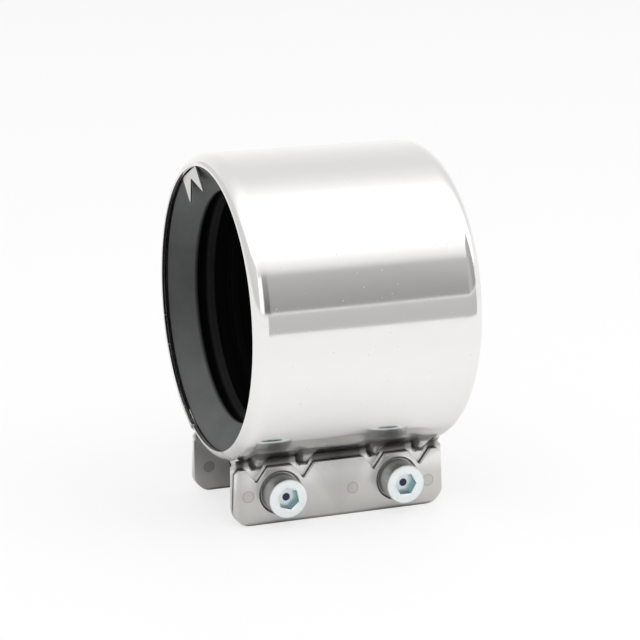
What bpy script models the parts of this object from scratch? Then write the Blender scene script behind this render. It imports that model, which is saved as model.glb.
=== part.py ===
"""A no hub pipe coupling: a stainless band bent into a C round a rubber sleeve, closed by two screws.

Metres, +Z up. The pipe's axis runs along X, the two lugs hang below it and the screws run along Y.
The origin lies under the middle of the lugs, on the surface that their folds rest on.
"""

from math import asin, atan2, cos, hypot, pi, radians, sin, sqrt

import bmesh
import bpy
from mathutils import Matrix, Vector

# Band
SHEET = 0.0010
SHELL_RADIUS = 0.0385
SHELL_LENGTH = 0.0590
ROLL_WIDTH = 0.0044
ROLL_DEPTH = 0.0030
ROLL_OVERHANG = radians(5.0)

# Lugs, each the end of the band folded back on itself
LUG_FACE = 0.0166
LUG_INSET = 0.00185
LUG_CORNER = 0.0050
EAR_OVERHANG = 0.0005
BEND_RADIUS = 0.0025
NECK_SHARE = 1 / 3
HEM_GAP = 0.0004
HEM_DROP = 0.0004
HEM_CHAMFER = 0.0011
PAD_OVERLAP = 0.0003
REST_FLAT = 0.0012

# Darts pressed into each bend, and the notches that clear them
DART_SPREAD = 0.00615
DART_RUN = 0.0050
DART_DROP = 0.0013
DART_NOSE_OUT = 0.0021
DART_NOSE_DROP = 0.0003
DART_TOP_HALF = 0.0028
DART_TOE_HALF = 0.0015
DART_ROUNDNESS = 0.75
NOTCH_HALF_WIDTH = 0.0027
NOTCH_DEPTH = 0.0037
NOTCH_ROUND = 0.0006

# Screws and nuts
SCREW_INSET = 0.0120
SCREW_RADIUS = 0.0030
SCREW_TAIL = 0.0025
SCREW_POINT = 0.00075
HEAD_RADIUS = 0.0050
HEAD_HEIGHT = 0.0060
HEAD_EDGE = 0.0004
SOCKET_ACROSS = 0.0050
SOCKET_DEPTH = 0.0030
SOCKET_TURNS = (radians(12.0), radians(30.0))
NUT_ACROSS = 0.0100
NUT_HEIGHT = 0.0050
NUT_SLOPE = 0.6
BOLT_CLEARANCE = 0.0003
DISH_DEPTH = 0.0006
DISH_SLOPE = 0.0009
DISH_CLEARANCE = 0.0004
DISH_TOP_MARGIN = 0.0005
DISH_BOTTOM_MARGIN = 0.0017

# Plate under the gap between the lugs
BRIDGE_SHEET = 0.0008
BRIDGE_LAP = 0.0029

# Rubber sleeve, its heights measured inwards from its bore
SLEEVE_INSET = 0.0015
SLEEVE_WALL = 0.0062
NOSE_STEP = 0.0022
LEAD_IN = 0.0056
LIP_HEIGHT = 0.0018
LIP_WIDTH = 0.0009
RIB_HEIGHT = 0.0014
RIB_WIDTH = 0.0017
RIB_FLANK = 0.0007
RIB_PITCHES = (0.0047, 0.0113)
STOP_HEIGHT = 0.0040
STOP_WIDTH = 0.0025

# Contact strip between the sleeve and the band
STRIP_SHEET = 0.0005
STRIP_WIDTH = 0.0114
STRIP_ANGLE = radians(24.7)
TOOTH_REACH = 0.00865
TOOTH_NOTCH = 0.0050
LEG_LEAN = 0.0010

# Clearances between touching pieces
SEAT_GAP = 0.00025
FIT_GAP = 0.0003

# Roundness
SHELL_STEPS = 32
ROLL_STEPS = 6
NECK_STEP = 2
DART_COLUMNS = 8
DART_ROWS = 4
DROP_ROWS = 3
BEND_STEPS = 6
FOLD_STEPS = 7
RING_STEPS = 64
SCREW_STEPS = 32
ARC_STEPS = 6
PAST = 0.002
MERGE = 0.00001
SMOOTH_ANGLE = radians(32.0)

# Places that follow from the sizes above
HALF_LENGTH = SHELL_LENGTH / 2
FLAT_HALF = HALF_LENGTH - ROLL_WIDTH
NECK_HALF = FLAT_HALF + ROLL_WIDTH * sin(pi / 2 * NECK_STEP / ROLL_STEPS)
SHELL_INSIDE = SHELL_RADIUS - SHEET
LINER_RADIUS = SHELL_INSIDE - FIT_GAP
EAR_FACE = LUG_FACE - SHEET - HEM_GAP
GAP_FACE = EAR_FACE - SHEET
BEND_Y = EAR_FACE + BEND_RADIUS
BEND_Z = -sqrt((SHELL_RADIUS + BEND_RADIUS) ** 2 - BEND_Y**2)
BEND_ANGLE = asin(BEND_Y / (SHELL_RADIUS + BEND_RADIUS))
BEND_TURN = pi / 2 - BEND_ANGLE
DISH_FLOOR = HEAD_RADIUS + DISH_CLEARANCE
DISH_RADIUS = DISH_FLOOR + DISH_SLOPE
SCREW_HEIGHT = DISH_RADIUS + DISH_BOTTOM_MARGIN
HEM_TOP_Z = BEND_Z - HEM_DROP
SCREW_Z = HEM_TOP_Z - DISH_TOP_MARGIN - DISH_RADIUS
AXIS_HEIGHT = SCREW_HEIGHT - SCREW_Z
FOLD_INSIDE = HEM_GAP / 2
FOLD_OUTSIDE = FOLD_INSIDE + SHEET
FOLD_TRIM = FOLD_OUTSIDE - sqrt(FOLD_OUTSIDE**2 - (REST_FLAT / 2) ** 2)
FOLD_Z = FOLD_OUTSIDE - FOLD_TRIM - AXIS_HEIGHT
LUG_HALF_WIDTH = HALF_LENGTH - LUG_INSET
EAR_HALF_WIDTH = LUG_HALF_WIDTH + EAR_OVERHANG
SCREW_PLACE = LUG_HALF_WIDTH - SCREW_INSET
DART_PLACES = (SCREW_PLACE - DART_SPREAD, SCREW_PLACE + DART_SPREAD)
SEAT_FACE = LUG_FACE - DISH_DEPTH
BOLT_HOLE = SCREW_RADIUS + BOLT_CLEARANCE
SCREW_LENGTH = 2 * (SEAT_FACE + SEAT_GAP) + NUT_HEIGHT + SCREW_TAIL
BRIDGE_HALF_ANGLE = BEND_ANGLE + BRIDGE_LAP / LINER_RADIUS
SLEEVE_HALF_LENGTH = HALF_LENGTH - SLEEVE_INSET
WALL_RADIUS = LINER_RADIUS - SLEEVE_WALL
NOSE_RADIUS = LINER_RADIUS - NOSE_STEP
LIP_RADIUS = WALL_RADIUS - LIP_HEIGHT
LIP_PLACE = SLEEVE_HALF_LENGTH - LEAD_IN
TOOTH_TIP = LINER_RADIUS - TOOTH_REACH


def clear_scene():
    """Empties the scene, so that only the coupling is in it."""
    for old in list(bpy.data.objects):
        bpy.data.objects.remove(old, do_unlink=True)


def collection(name):
    """A new collection in the scene."""
    made = bpy.data.collections.new(name)
    bpy.context.scene.collection.children.link(made)
    return made


def material(name, colour, metallic, roughness):
    """A plain material of one colour."""
    made = bpy.data.materials.new(name)
    made.use_nodes = True
    shader = made.node_tree.nodes["Principled BSDF"]
    shader.inputs["Base Color"].default_value = (*colour, 1.0)
    shader.inputs["Metallic"].default_value = metallic
    shader.inputs["Roughness"].default_value = roughness
    return made


def mesh_object(name, shape, group, finish=None):
    """An object made from a bmesh, in one collection and in one finish."""
    data = bpy.data.meshes.new(name)
    shape.to_mesh(data)
    shape.free()
    made = bpy.data.objects.new(name, data)
    group.objects.link(made)
    if finish:
        data.materials.append(finish)
    return made


def helper(name, shape, group):
    """A cutter or an added shape, which only its Boolean shows."""
    bmesh.ops.recalc_face_normals(shape, faces=shape.faces)
    made = mesh_object(name, shape, group)
    made.hide_render = True
    made.display_type = "WIRE"
    return made


def boolean(target, other, operation):
    """Cuts another shape from an object, or joins the two."""
    change = target.modifiers.new(other.name, "BOOLEAN")
    change.operation = operation
    change.object = other
    change.solver = "EXACT"


def smooth(target):
    """Round stretches are shaded smooth and edges stay sharp."""
    target.data.shade_smooth()
    target.data.set_sharp_from_angle(angle=SMOOTH_ANGLE)


def quarter_roll(flat_end, radius, width, depth):
    """Points (x, radius) where a sheet that runs along X rolls inwards, from its flat to its edge."""
    turns = [pi / 2 * step / ROLL_STEPS for step in range(ROLL_STEPS + 1)]
    return [(flat_end + width * sin(turn), radius - depth + depth * cos(turn)) for turn in turns]


def shell_section(x):
    """The (x, radius) point of the shell's outside at this distance along it."""
    past_flat = max(0.0, x - FLAT_HALF) / ROLL_WIDTH
    return x, SHELL_RADIUS - ROLL_DEPTH * (1 - sqrt(max(0.0, 1 - past_flat**2)))


def arc(centre_x, centre_z, radius, start, end):
    """Points (x, z) on an arc, its angles from +X towards +Z."""
    turns = [start + (end - start) * step / ARC_STEPS for step in range(ARC_STEPS + 1)]
    return [(centre_x + radius * cos(turn), centre_z + radius * sin(turn)) for turn in turns]


def prism(shape, outline, low_y, high_y):
    """Adds an (x, z) outline, raised along Y."""
    face = shape.faces.new([shape.verts.new((x, low_y, z)) for x, z in outline])
    raised = bmesh.ops.extrude_face_region(shape, geom=[face])["geom"]
    verts = [part for part in raised if isinstance(part, bmesh.types.BMVert)]
    bmesh.ops.translate(shape, verts=verts, vec=(0.0, high_y - low_y, 0.0))


def box(shape, low, high):
    """Adds a box between two corners."""
    size = Vector(high) - Vector(low)
    middle = (Vector(high) + Vector(low)) / 2
    bmesh.ops.create_cube(shape, size=1.0, matrix=Matrix.Translation(middle) @ Matrix.Diagonal((*size, 1.0)))


def disc(shape, x, z, low, high, low_radius, high_radius, sides=SCREW_STEPS):
    """Adds a round or conical plug along Y, with its radius at each end."""
    place = Matrix.Translation((x, (low + high) / 2, z)) @ Matrix.Rotation(-pi / 2, 4, "X")
    bmesh.ops.create_cone(
        shape,
        cap_ends=True,
        segments=sides,
        radius1=low_radius,
        radius2=high_radius,
        depth=high - low,
        matrix=place,
    )


def spin_edges(shape, verts, centre_y, centre_z, angle, steps):
    """Sweeps a row of points about a line along X, and gives the last row."""
    row = set(verts)
    edges = [edge for edge in shape.edges if set(edge.verts) <= row]
    swept = bmesh.ops.spin(
        shape,
        geom=list(verts) + edges,
        cent=(0.0, centre_y, centre_z),
        axis=(1.0, 0.0, 0.0),
        angle=angle,
        steps=steps,
        use_duplicate=False,
    )
    return [part for part in swept["geom_last"] if isinstance(part, bmesh.types.BMVert)]


def push_edges(shape, verts, vec):
    """Extends a row of points along a straight line, and gives the last row."""
    row = set(verts)
    edges = [edge for edge in shape.edges if set(edge.verts) <= row]
    pushed = bmesh.ops.extrude_edge_only(shape, edges=edges)["geom"]
    last = [part for part in pushed if isinstance(part, bmesh.types.BMVert)]
    bmesh.ops.translate(shape, verts=last, vec=vec)
    return last


def thin_row(shape, verts, kept):
    """Drops the points of a row that aren't at one of the kept places along X."""
    extra = [vert for vert in verts if all(abs(vert.co.x - x) > MERGE for x in kept)]
    rest = [vert for vert in verts if vert not in extra]
    bmesh.ops.dissolve_verts(shape, verts=extra)
    return rest


def length_past_bend(y, z):
    """How far along the strip a point of the front half lies past the start of its bend."""
    from_bottom = atan2(-y, -z)
    if from_bottom > BEND_ANGLE - MERGE:
        return (BEND_ANGLE - from_bottom) * SHELL_RADIUS
    if z > BEND_Z:
        return BEND_RADIUS * (BEND_TURN - atan2(z - BEND_Z, y + BEND_Y))
    return BEND_RADIUS * BEND_TURN + BEND_Z - z


def strip_point(length):
    """The (y, z) point of the strip's outside at this length past the start of its bend, before the darts."""
    if length < 0.0:
        from_bottom = BEND_ANGLE - length / SHELL_RADIUS
        return Vector((-SHELL_RADIUS * sin(from_bottom), -SHELL_RADIUS * cos(from_bottom)))
    if length < BEND_RADIUS * BEND_TURN:
        turn = BEND_TURN - length / BEND_RADIUS
        return Vector((BEND_RADIUS * cos(turn) - BEND_Y, BEND_RADIUS * sin(turn) + BEND_Z))
    return Vector((-EAR_FACE, BEND_Z + BEND_RADIUS * BEND_TURN - length))


def dart_shift(x, length):
    """How far the darts move the sheet out of its corner, along Y and Z, at this place on the strip."""
    toe = BEND_RADIUS * BEND_TURN + DART_DROP
    along = (length + DART_RUN) / (toe + DART_RUN)
    half = DART_TOP_HALF + (DART_TOE_HALF - DART_TOP_HALF) * along
    across = min(abs(x - place) for place in DART_PLACES) / half
    if not 0.0 < along < 1.0 or across > 1.0:
        return Vector((0.0, 0.0))
    nose = Vector((-EAR_FACE - DART_NOSE_OUT, BEND_Z - DART_NOSE_DROP))
    ridge = (1 - along) ** 2 * strip_point(-DART_RUN) + 2 * along * (1 - along) * nose + along**2 * strip_point(toe)
    return (ridge - strip_point(length)) * (1 - across**2) ** DART_ROUNDNESS


def press_darts(band):
    """Gives the sheet its thickness, then moves both its faces out of the bend's corner, into rounded darts."""
    graph = bpy.context.evaluated_depsgraph_get()
    flat = band.data
    band.data = bpy.data.meshes.new_from_object(band.evaluated_get(graph))
    band.modifiers.clear()
    bpy.data.meshes.remove(flat)
    for vert in band.data.vertices:
        shift = dart_shift(vert.co.x, length_past_bend(vert.co.y, vert.co.z))
        vert.co.y += shift.x
        vert.co.z += shift.y


def hem_outline():
    """The (x, z) outline of the folded layer's half above its fold, with its notches, from its free side."""
    slope = NOTCH_HALF_WIDTH / NOTCH_DEPTH
    lean = hypot(1.0, slope)
    round_z = HEM_TOP_Z - NOTCH_DEPTH + NOTCH_ROUND
    tangent_x = NOTCH_ROUND / lean
    tangent_z = round_z - NOTCH_ROUND * slope / lean
    top_x = tangent_x + (HEM_TOP_Z - tangent_z) * slope
    start = asin(slope / lean)
    outline = [(LUG_HALF_WIDTH, HEM_TOP_Z - HEM_CHAMFER), (LUG_HALF_WIDTH - HEM_CHAMFER, HEM_TOP_Z)]
    for place in sorted(DART_PLACES, reverse=True):
        tip = arc(place, round_z, NOTCH_ROUND, 2 * pi - start, pi + start)
        outline += [(place + top_x, HEM_TOP_Z)] + tip + [(place - top_x, HEM_TOP_Z)]
    return outline + [(-PAST, HEM_TOP_Z)]


def band_surface():
    """The outside of one quarter of the strip: half the shell with one rolled edge, and half of a folded lug."""
    shape = bmesh.new()
    roll = quarter_roll(FLAT_HALF, SHELL_RADIUS, ROLL_WIDTH, ROLL_DEPTH)
    kept = [-PAST] + [x for x, _ in roll]
    steps = [2 * step / DART_COLUMNS - 1 for step in range(DART_COLUMNS + 1)]
    columns = [place + DART_TOP_HALF * step for place in DART_PLACES for step in steps]
    row = [shape.verts.new((x, 0.0, radius)) for x, radius in map(shell_section, sorted(kept + columns))]
    for first, second in zip(row, row[1:]):
        shape.edges.new((first, second))
    dart_start = pi - BEND_ANGLE - DART_RUN / SHELL_RADIUS
    bmesh.ops.rotate(shape, verts=row, cent=(0.0, 0.0, 0.0), matrix=Matrix.Rotation(dart_start, 3, "X"))
    step = (dart_start + asin(PAST / SHELL_RADIUS)) / SHELL_STEPS
    upper = thin_row(shape, spin_edges(shape, row, 0.0, 0.0, -step, 1), kept)
    spin_edges(shape, upper, 0.0, 0.0, -step * (SHELL_STEPS - 1), SHELL_STEPS - 1)
    end = spin_edges(shape, row, 0.0, 0.0, DART_RUN / SHELL_RADIUS, DART_ROWS)

    rolled = [vert for vert in end if vert.co.x > NECK_HALF + MERGE]
    ear = [vert for vert in end if vert.co.x < NECK_HALF + MERGE]
    spin_edges(shape, rolled, 0.0, 0.0, ROLL_OVERHANG, 1)
    before = set(shape.verts)
    ear = spin_edges(shape, ear, -BEND_Y, BEND_Z, -BEND_TURN, BEND_STEPS)
    for vert in set(shape.verts) - before:
        across = Vector((vert.co.y + BEND_Y, vert.co.z - BEND_Z)).normalized() * BEND_RADIUS
        vert.co.y = across.x - BEND_Y
        vert.co.z = across.y + BEND_Z
        share = 1 - atan2(across.y, across.x) / BEND_TURN / NECK_SHARE
        if vert.co.x > NECK_HALF - MERGE and share > 0.0:
            vert.co.x += (EAR_HALF_WIDTH - NECK_HALF) * share
    for _ in range(DROP_ROWS):
        ear = push_edges(shape, ear, (0.0, 0.0, -DART_DROP / DROP_ROWS))

    kept += [EAR_HALF_WIDTH]
    ear = thin_row(shape, push_edges(shape, ear, (0.0, 0.0, FOLD_Z - BEND_Z + DART_DROP)), kept)
    ear = spin_edges(shape, ear, -EAR_FACE - FOLD_INSIDE, FOLD_Z, -pi, FOLD_STEPS)
    ear.sort(key=lambda vert: vert.co.x)
    rim = [shape.verts.new((x, -EAR_FACE - HEM_GAP, z)) for x, z in hem_outline()]
    shape.faces.new(ear + rim)
    bmesh.ops.recalc_face_normals(shape, faces=shape.faces)
    crown = max(shape.faces, key=lambda face: face.calc_center_median().z)
    if crown.normal.z < 0:
        bmesh.ops.reverse_faces(shape, faces=shape.faces)
    return shape


def corner_cutter(group):
    """Rounds the lug's lower corner and leaves a narrow flat under its fold."""
    shape = bmesh.new()
    inner_x = EAR_HALF_WIDTH - LUG_CORNER
    inner_z = LUG_CORNER - AXIS_HEIGHT
    past_x = EAR_HALF_WIDTH + PAST
    past_z = -AXIS_HEIGHT - PAST
    outline = [(-2 * PAST, -AXIS_HEIGHT)]
    outline += arc(inner_x, inner_z, LUG_CORNER, -pi / 2, 0.0)
    outline += [(past_x, inner_z), (past_x, past_z), (-2 * PAST, past_z)]
    prism(shape, outline, -LUG_FACE - PAST, -GAP_FACE + PAST)
    return helper("lug_corner", shape, group)


def seat_pads(group):
    """The folded layer is pressed onto the layer behind it round each screw."""
    shape = bmesh.new()
    outer = -EAR_FACE - HEM_GAP - PAD_OVERLAP
    disc(shape, SCREW_PLACE, SCREW_Z, outer, -EAR_FACE + PAD_OVERLAP, DISH_RADIUS, DISH_RADIUS)
    return helper("seat_pads", shape, group)


def seat_cutters(group):
    """A dished seat and a bolt hole."""
    shape = bmesh.new()
    past_radius = DISH_RADIUS + DISH_SLOPE
    outer = -LUG_FACE - DISH_DEPTH
    disc(shape, SCREW_PLACE, SCREW_Z, outer, -SEAT_FACE, past_radius, DISH_FLOOR)
    made = helper("dished_seats", shape, group)
    hole = bmesh.new()
    disc(hole, SCREW_PLACE, SCREW_Z, -LUG_FACE - PAST, -GAP_FACE + PAST, BOLT_HOLE, BOLT_HOLE)
    return made, helper("bolt_holes", hole, group)


def make_band(parts, cutters, axis, finish):
    """The band: one quarter is modelled, and mirrored to the other end and to the other lug."""
    band = mesh_object("band_shell", band_surface(), parts, finish)
    wall = band.modifiers.new("sheet", "SOLIDIFY")
    wall.thickness = SHEET
    wall.offset = -1.0
    wall.use_even_offset = True
    wall.use_quality_normals = True
    press_darts(band)
    dishes, holes = seat_cutters(cutters)
    changes = (
        (seat_pads(cutters), "UNION"),
        (dishes, "DIFFERENCE"),
        (holes, "DIFFERENCE"),
        (corner_cutter(cutters), "DIFFERENCE"),
    )
    for other, operation in changes:
        other.parent = axis
        boolean(band, other, operation)
    mirror = band.modifiers.new("other ends", "MIRROR")
    mirror.use_axis = (True, True, False)
    mirror.use_bisect_axis = (True, True, False)
    mirror.use_bisect_flip_axis = (False, True, False)
    mirror.merge_threshold = MERGE
    smooth(band)
    band.modifiers.new("shading", "WEIGHTED_NORMAL").keep_sharp = True
    band.parent = axis
    return band


def spun_sector(shape, outline, half_angle, steps):
    """Adds a closed (x, radius) outline turned about the pipe's axis, half each way from straight down."""
    verts = [shape.verts.new((x, 0.0, -radius)) for x, radius in outline]
    face = shape.faces.new(verts)
    bmesh.ops.rotate(shape, verts=verts, cent=(0.0, 0.0, 0.0), matrix=Matrix.Rotation(-half_angle, 3, "X"))
    bmesh.ops.spin(
        shape,
        geom=verts + list(face.edges) + [face],
        cent=(0.0, 0.0, 0.0),
        axis=(1.0, 0.0, 0.0),
        angle=2 * half_angle,
        steps=steps,
        use_duplicate=False,
    )


def liner_roll(radius, sheet):
    """The outer and inner curves of a thin strip's rolled end, which lies behind the shell's own roll."""
    width = ROLL_WIDTH - SHEET - FIT_GAP
    depth = ROLL_DEPTH - SHEET - FIT_GAP
    outer = quarter_roll(FLAT_HALF, radius, width, depth)
    inner = quarter_roll(FLAT_HALF, radius - sheet, width - sheet, depth - sheet)
    return outer, inner


def make_bridge(parts, axis, finish):
    """The plate that closes the band's gap from inside, rolled at its ends as the band is."""
    shape = bmesh.new()
    outer, inner = liner_roll(LINER_RADIUS, BRIDGE_SHEET)
    right = outer + inner[::-1]
    left = [(-x, radius) for x, radius in inner + outer[::-1]]
    spun_sector(shape, right + left, BRIDGE_HALF_ANGLE, 2 * BEND_STEPS + 2)
    bmesh.ops.recalc_face_normals(shape, faces=shape.faces)
    bridge = mesh_object("gap_bridge_plate", shape, parts, finish)
    smooth(bridge)
    bridge.parent = axis
    return bridge


def turned(name, outline, closed, steps, group, finish):
    """A solid turned about Z from an outline of (radius, z) points, down its outer side."""
    shape = bmesh.new()
    verts = [shape.verts.new((radius, 0.0, z)) for radius, z in outline]
    for first, second in zip(verts, verts[1:]):
        shape.edges.new((first, second))
    if closed:
        shape.edges.new((verts[-1], verts[0]))
    made = mesh_object(name, shape, group, finish)
    turn = made.modifiers.new("turn", "SCREW")
    turn.axis = "Z"
    turn.angle = 2 * pi
    turn.steps = steps
    turn.render_steps = steps
    turn.use_merge_vertices = True
    turn.merge_threshold = MERGE
    return made


def rib(middle):
    """A sealing rib's (radius, distance) points, from its end side to its middle side."""
    half = RIB_WIDTH / 2
    crest = WALL_RADIUS - RIB_HEIGHT
    return [
        (WALL_RADIUS, middle + half + RIB_FLANK),
        (crest, middle + half),
        (crest, middle - half),
        (WALL_RADIUS, middle - half - RIB_FLANK),
    ]


def sleeve_outline():
    """The sleeve's (radius, distance) section, from its outer middle round one end to its bore's middle."""
    outline = [
        (LINER_RADIUS, FLAT_HALF),
        (NOSE_RADIUS, FLAT_HALF + RIB_FLANK),
        (NOSE_RADIUS, SLEEVE_HALF_LENGTH),
        (LIP_RADIUS, LIP_PLACE),
        (LIP_RADIUS, LIP_PLACE - LIP_WIDTH),
        (WALL_RADIUS, LIP_PLACE - LIP_WIDTH - RIB_FLANK),
    ]
    for pitch in RIB_PITCHES:
        outline += rib(LIP_PLACE - pitch)
    stop_half = STOP_WIDTH / 2
    outline += [(WALL_RADIUS, stop_half), (WALL_RADIUS - STOP_HEIGHT, stop_half)]
    return outline


def make_sleeve(parts, cutters, axis, finish):
    """The rubber sleeve, with room for the strip and for the bridge plate."""
    half = sleeve_outline()
    outline = half[:1] + [(radius, -z) for radius, z in half] + half[:0:-1]
    sleeve = turned("sealing_sleeve", outline, True, RING_STEPS, parts, finish)
    sleeve.rotation_euler = (0.0, pi / 2, 0.0)
    relief = bmesh.new()
    reach = FLAT_HALF + 2 * RIB_FLANK
    floor = LINER_RADIUS - BRIDGE_SHEET - FIT_GAP
    past = LINER_RADIUS + PAST
    outline = [(-reach, floor), (reach, floor), (reach, past), (-reach, past)]
    room = FIT_GAP / LINER_RADIUS
    spun_sector(relief, outline, BRIDGE_HALF_ANGLE + room, 2 * BEND_STEPS + 2)
    groove = bmesh.new()
    side = STRIP_WIDTH / 2 + FIT_GAP
    depth = strip_height() - STRIP_SHEET - FIT_GAP
    box(groove, (-reach, -side, depth), (reach, side, past))
    notch = bmesh.new()
    face = strip_leg_x() - STRIP_SHEET - FIT_GAP - SEAT_GAP
    end = SLEEVE_HALF_LENGTH + PAST
    box(notch, (face, -side, LIP_RADIUS), (end, side, past))
    box(notch, (-end, -side, LIP_RADIUS), (-face, side, past))
    for cutter in (helper("strip_groove", groove, cutters), helper("strip_notches", notch, cutters)):
        cutter.rotation_euler = (-STRIP_ANGLE, 0.0, 0.0)
        cutter.parent = axis
        boolean(sleeve, cutter, "DIFFERENCE")
    cutter = helper("bridge_relief", relief, cutters)
    cutter.parent = axis
    boolean(sleeve, cutter, "DIFFERENCE")
    smooth(sleeve)
    sleeve.parent = axis
    return sleeve


def strip_height():
    """The height of the flat strip's outer face, where its edges just clear the shell."""
    return sqrt(LINER_RADIUS**2 - (STRIP_WIDTH / 2) ** 2)


def strip_leg_x():
    """How far out the strip's leg stands, behind the shell's rolled edge."""
    return HALF_LENGTH - SHEET - FIT_GAP


def make_strip(parts, cutters, axis, finish):
    """The contact strip, bent over both ends of the sleeve, with each end cut to two teeth."""
    shape = bmesh.new()
    outer, _ = liner_roll(strip_height(), STRIP_SHEET)
    right = outer + [(strip_leg_x() - LEG_LEAN, TOOTH_TIP)]
    path = [(-x, z) for x, z in right[::-1]] + right
    side = STRIP_WIDTH / 2
    row = [shape.verts.new((x, -side, z)) for x, z in path]
    for first, second in zip(row, row[1:]):
        shape.edges.new((first, second))
    push_edges(shape, row, (0.0, STRIP_WIDTH, 0.0))
    strip = mesh_object("contact_strip", shape, parts, finish)
    wall = strip.modifiers.new("sheet", "SOLIDIFY")
    wall.thickness = STRIP_SHEET
    wall.offset = 1.0
    wall.use_even_offset = True
    teeth = bmesh.new()
    for end in (-1.0, 1.0):
        reach = strip_leg_x() + PAST
        corners = [(-side, TOOTH_TIP), (0.0, TOOTH_TIP + TOOTH_NOTCH), (side, TOOTH_TIP)]
        corners += [(side, TOOTH_TIP - PAST), (-side, TOOTH_TIP - PAST)]
        face = teeth.faces.new([teeth.verts.new((end * reach, y, z)) for y, z in corners])
        raised = bmesh.ops.extrude_face_region(teeth, geom=[face])["geom"]
        verts = [part for part in raised if isinstance(part, bmesh.types.BMVert)]
        bmesh.ops.translate(teeth, verts=verts, vec=(-end * (LEG_LEAN + STRIP_SHEET + 2 * PAST), 0.0, 0.0))
    cutter = helper("strip_teeth", teeth, cutters)
    boolean(strip, cutter, "DIFFERENCE")
    for made in (strip, cutter):
        made.rotation_euler = (-STRIP_ANGLE, 0.0, 0.0)
        made.parent = axis
    smooth(strip)
    return strip


def make_screw(side, name, turn, parts, cutters, finish):
    """A hex socket cap screw, its origin on its own axis under its head, and its head towards -Y."""
    outline = [
        (0.0, HEAD_HEIGHT),
        (HEAD_RADIUS - HEAD_EDGE, HEAD_HEIGHT),
        (HEAD_RADIUS, HEAD_HEIGHT - HEAD_EDGE),
        (HEAD_RADIUS, 0.0),
        (SCREW_RADIUS, 0.0),
        (SCREW_RADIUS, SCREW_POINT - SCREW_LENGTH),
        (SCREW_RADIUS - SCREW_POINT, -SCREW_LENGTH),
        (0.0, -SCREW_LENGTH),
    ]
    screw = turned(name, outline, False, SCREW_STEPS, parts, finish)
    place = Vector((side * SCREW_PLACE, -SEAT_FACE - SEAT_GAP, SCREW_HEIGHT))
    screw.matrix_world = Matrix.Translation(place) @ Matrix.Rotation(pi / 2, 4, "X")
    socket = bmesh.new()
    corner = SOCKET_ACROSS / 2 / cos(pi / 6)
    middle = HEAD_HEIGHT - SOCKET_DEPTH / 2 + PAST / 2
    bmesh.ops.create_cone(
        socket,
        cap_ends=True,
        segments=6,
        radius1=corner,
        radius2=corner,
        depth=SOCKET_DEPTH + PAST,
        matrix=Matrix.Translation((0.0, 0.0, middle)) @ Matrix.Rotation(turn, 4, "Z"),
    )
    cutter = helper(name + "_socket", socket, cutters)
    cutter.matrix_world = screw.matrix_world
    boolean(screw, cutter, "DIFFERENCE")
    smooth(screw)
    return screw


def make_nut(side, name, parts, cutters, finish):
    """A hex nut against the rear lug, its corners chamfered and its hole round the screw."""
    corner = NUT_ACROSS / 2 / cos(pi / 6)
    shape = bmesh.new()
    bmesh.ops.create_cone(
        shape, cap_ends=True, segments=6, radius1=corner, radius2=corner, depth=NUT_HEIGHT
    )
    nut = mesh_object(name, shape, parts, finish)
    half = NUT_HEIGHT / 2
    bulge = half - (corner + PAST - NUT_ACROSS / 2) * NUT_SLOPE
    outline = [
        (BOLT_HOLE, half + MERGE),
        (NUT_ACROSS / 2, half + MERGE),
        (corner + PAST, bulge),
        (corner + PAST, -bulge),
        (NUT_ACROSS / 2, -half - MERGE),
        (BOLT_HOLE, -half - MERGE),
    ]
    form = turned(name + "_form", outline, True, SCREW_STEPS, cutters, None)
    form.hide_render = True
    form.display_type = "WIRE"
    place = Vector((side * SCREW_PLACE, SEAT_FACE + SEAT_GAP + half, SCREW_HEIGHT))
    for made in (nut, form):
        made.matrix_world = Matrix.Translation(place) @ Matrix.Rotation(pi / 2, 4, "X")
    boolean(nut, form, "INTERSECT")
    smooth(nut)
    return nut


def main():
    clear_scene()
    parts = collection("no_hub_coupling")
    cutters = collection("cutters")
    steel = material("polished_stainless", (0.75, 0.74, 0.73), 1.0, 0.13)
    plate = material("plain_stainless", (0.66, 0.65, 0.63), 1.0, 0.28)
    rubber = material("black_rubber", (0.030, 0.030, 0.031), 0.0, 0.55)
    zinc = material("zinc_plate", (0.66, 0.68, 0.71), 1.0, 0.25)

    axis = bpy.data.objects.new("pipe_axis", None)
    axis.location = (0.0, 0.0, AXIS_HEIGHT)
    parts.objects.link(axis)

    make_band(parts, cutters, axis, steel)
    make_bridge(parts, axis, plate)
    make_sleeve(parts, cutters, axis, rubber)
    make_strip(parts, cutters, axis, plate)
    for side, where, turn in zip((-1.0, 1.0), ("left", "right"), SOCKET_TURNS):
        make_screw(side, "screw_" + where, turn, parts, cutters, zinc)
        make_nut(side, "nut_" + where, parts, cutters, zinc)


main()
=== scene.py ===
"""Finishes a no hub pipe coupling: its band, rubber sleeve, bridge plate, contact strip, screws and nuts.

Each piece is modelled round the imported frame, in metres, with the pipe's axis along X and the lugs below.
"""

from math import asin, atan2, copysign, cos, floor, hypot, pi, radians, sin, sqrt, tan

import bmesh
import bpy
from mathutils import Euler, Matrix, Vector


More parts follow.
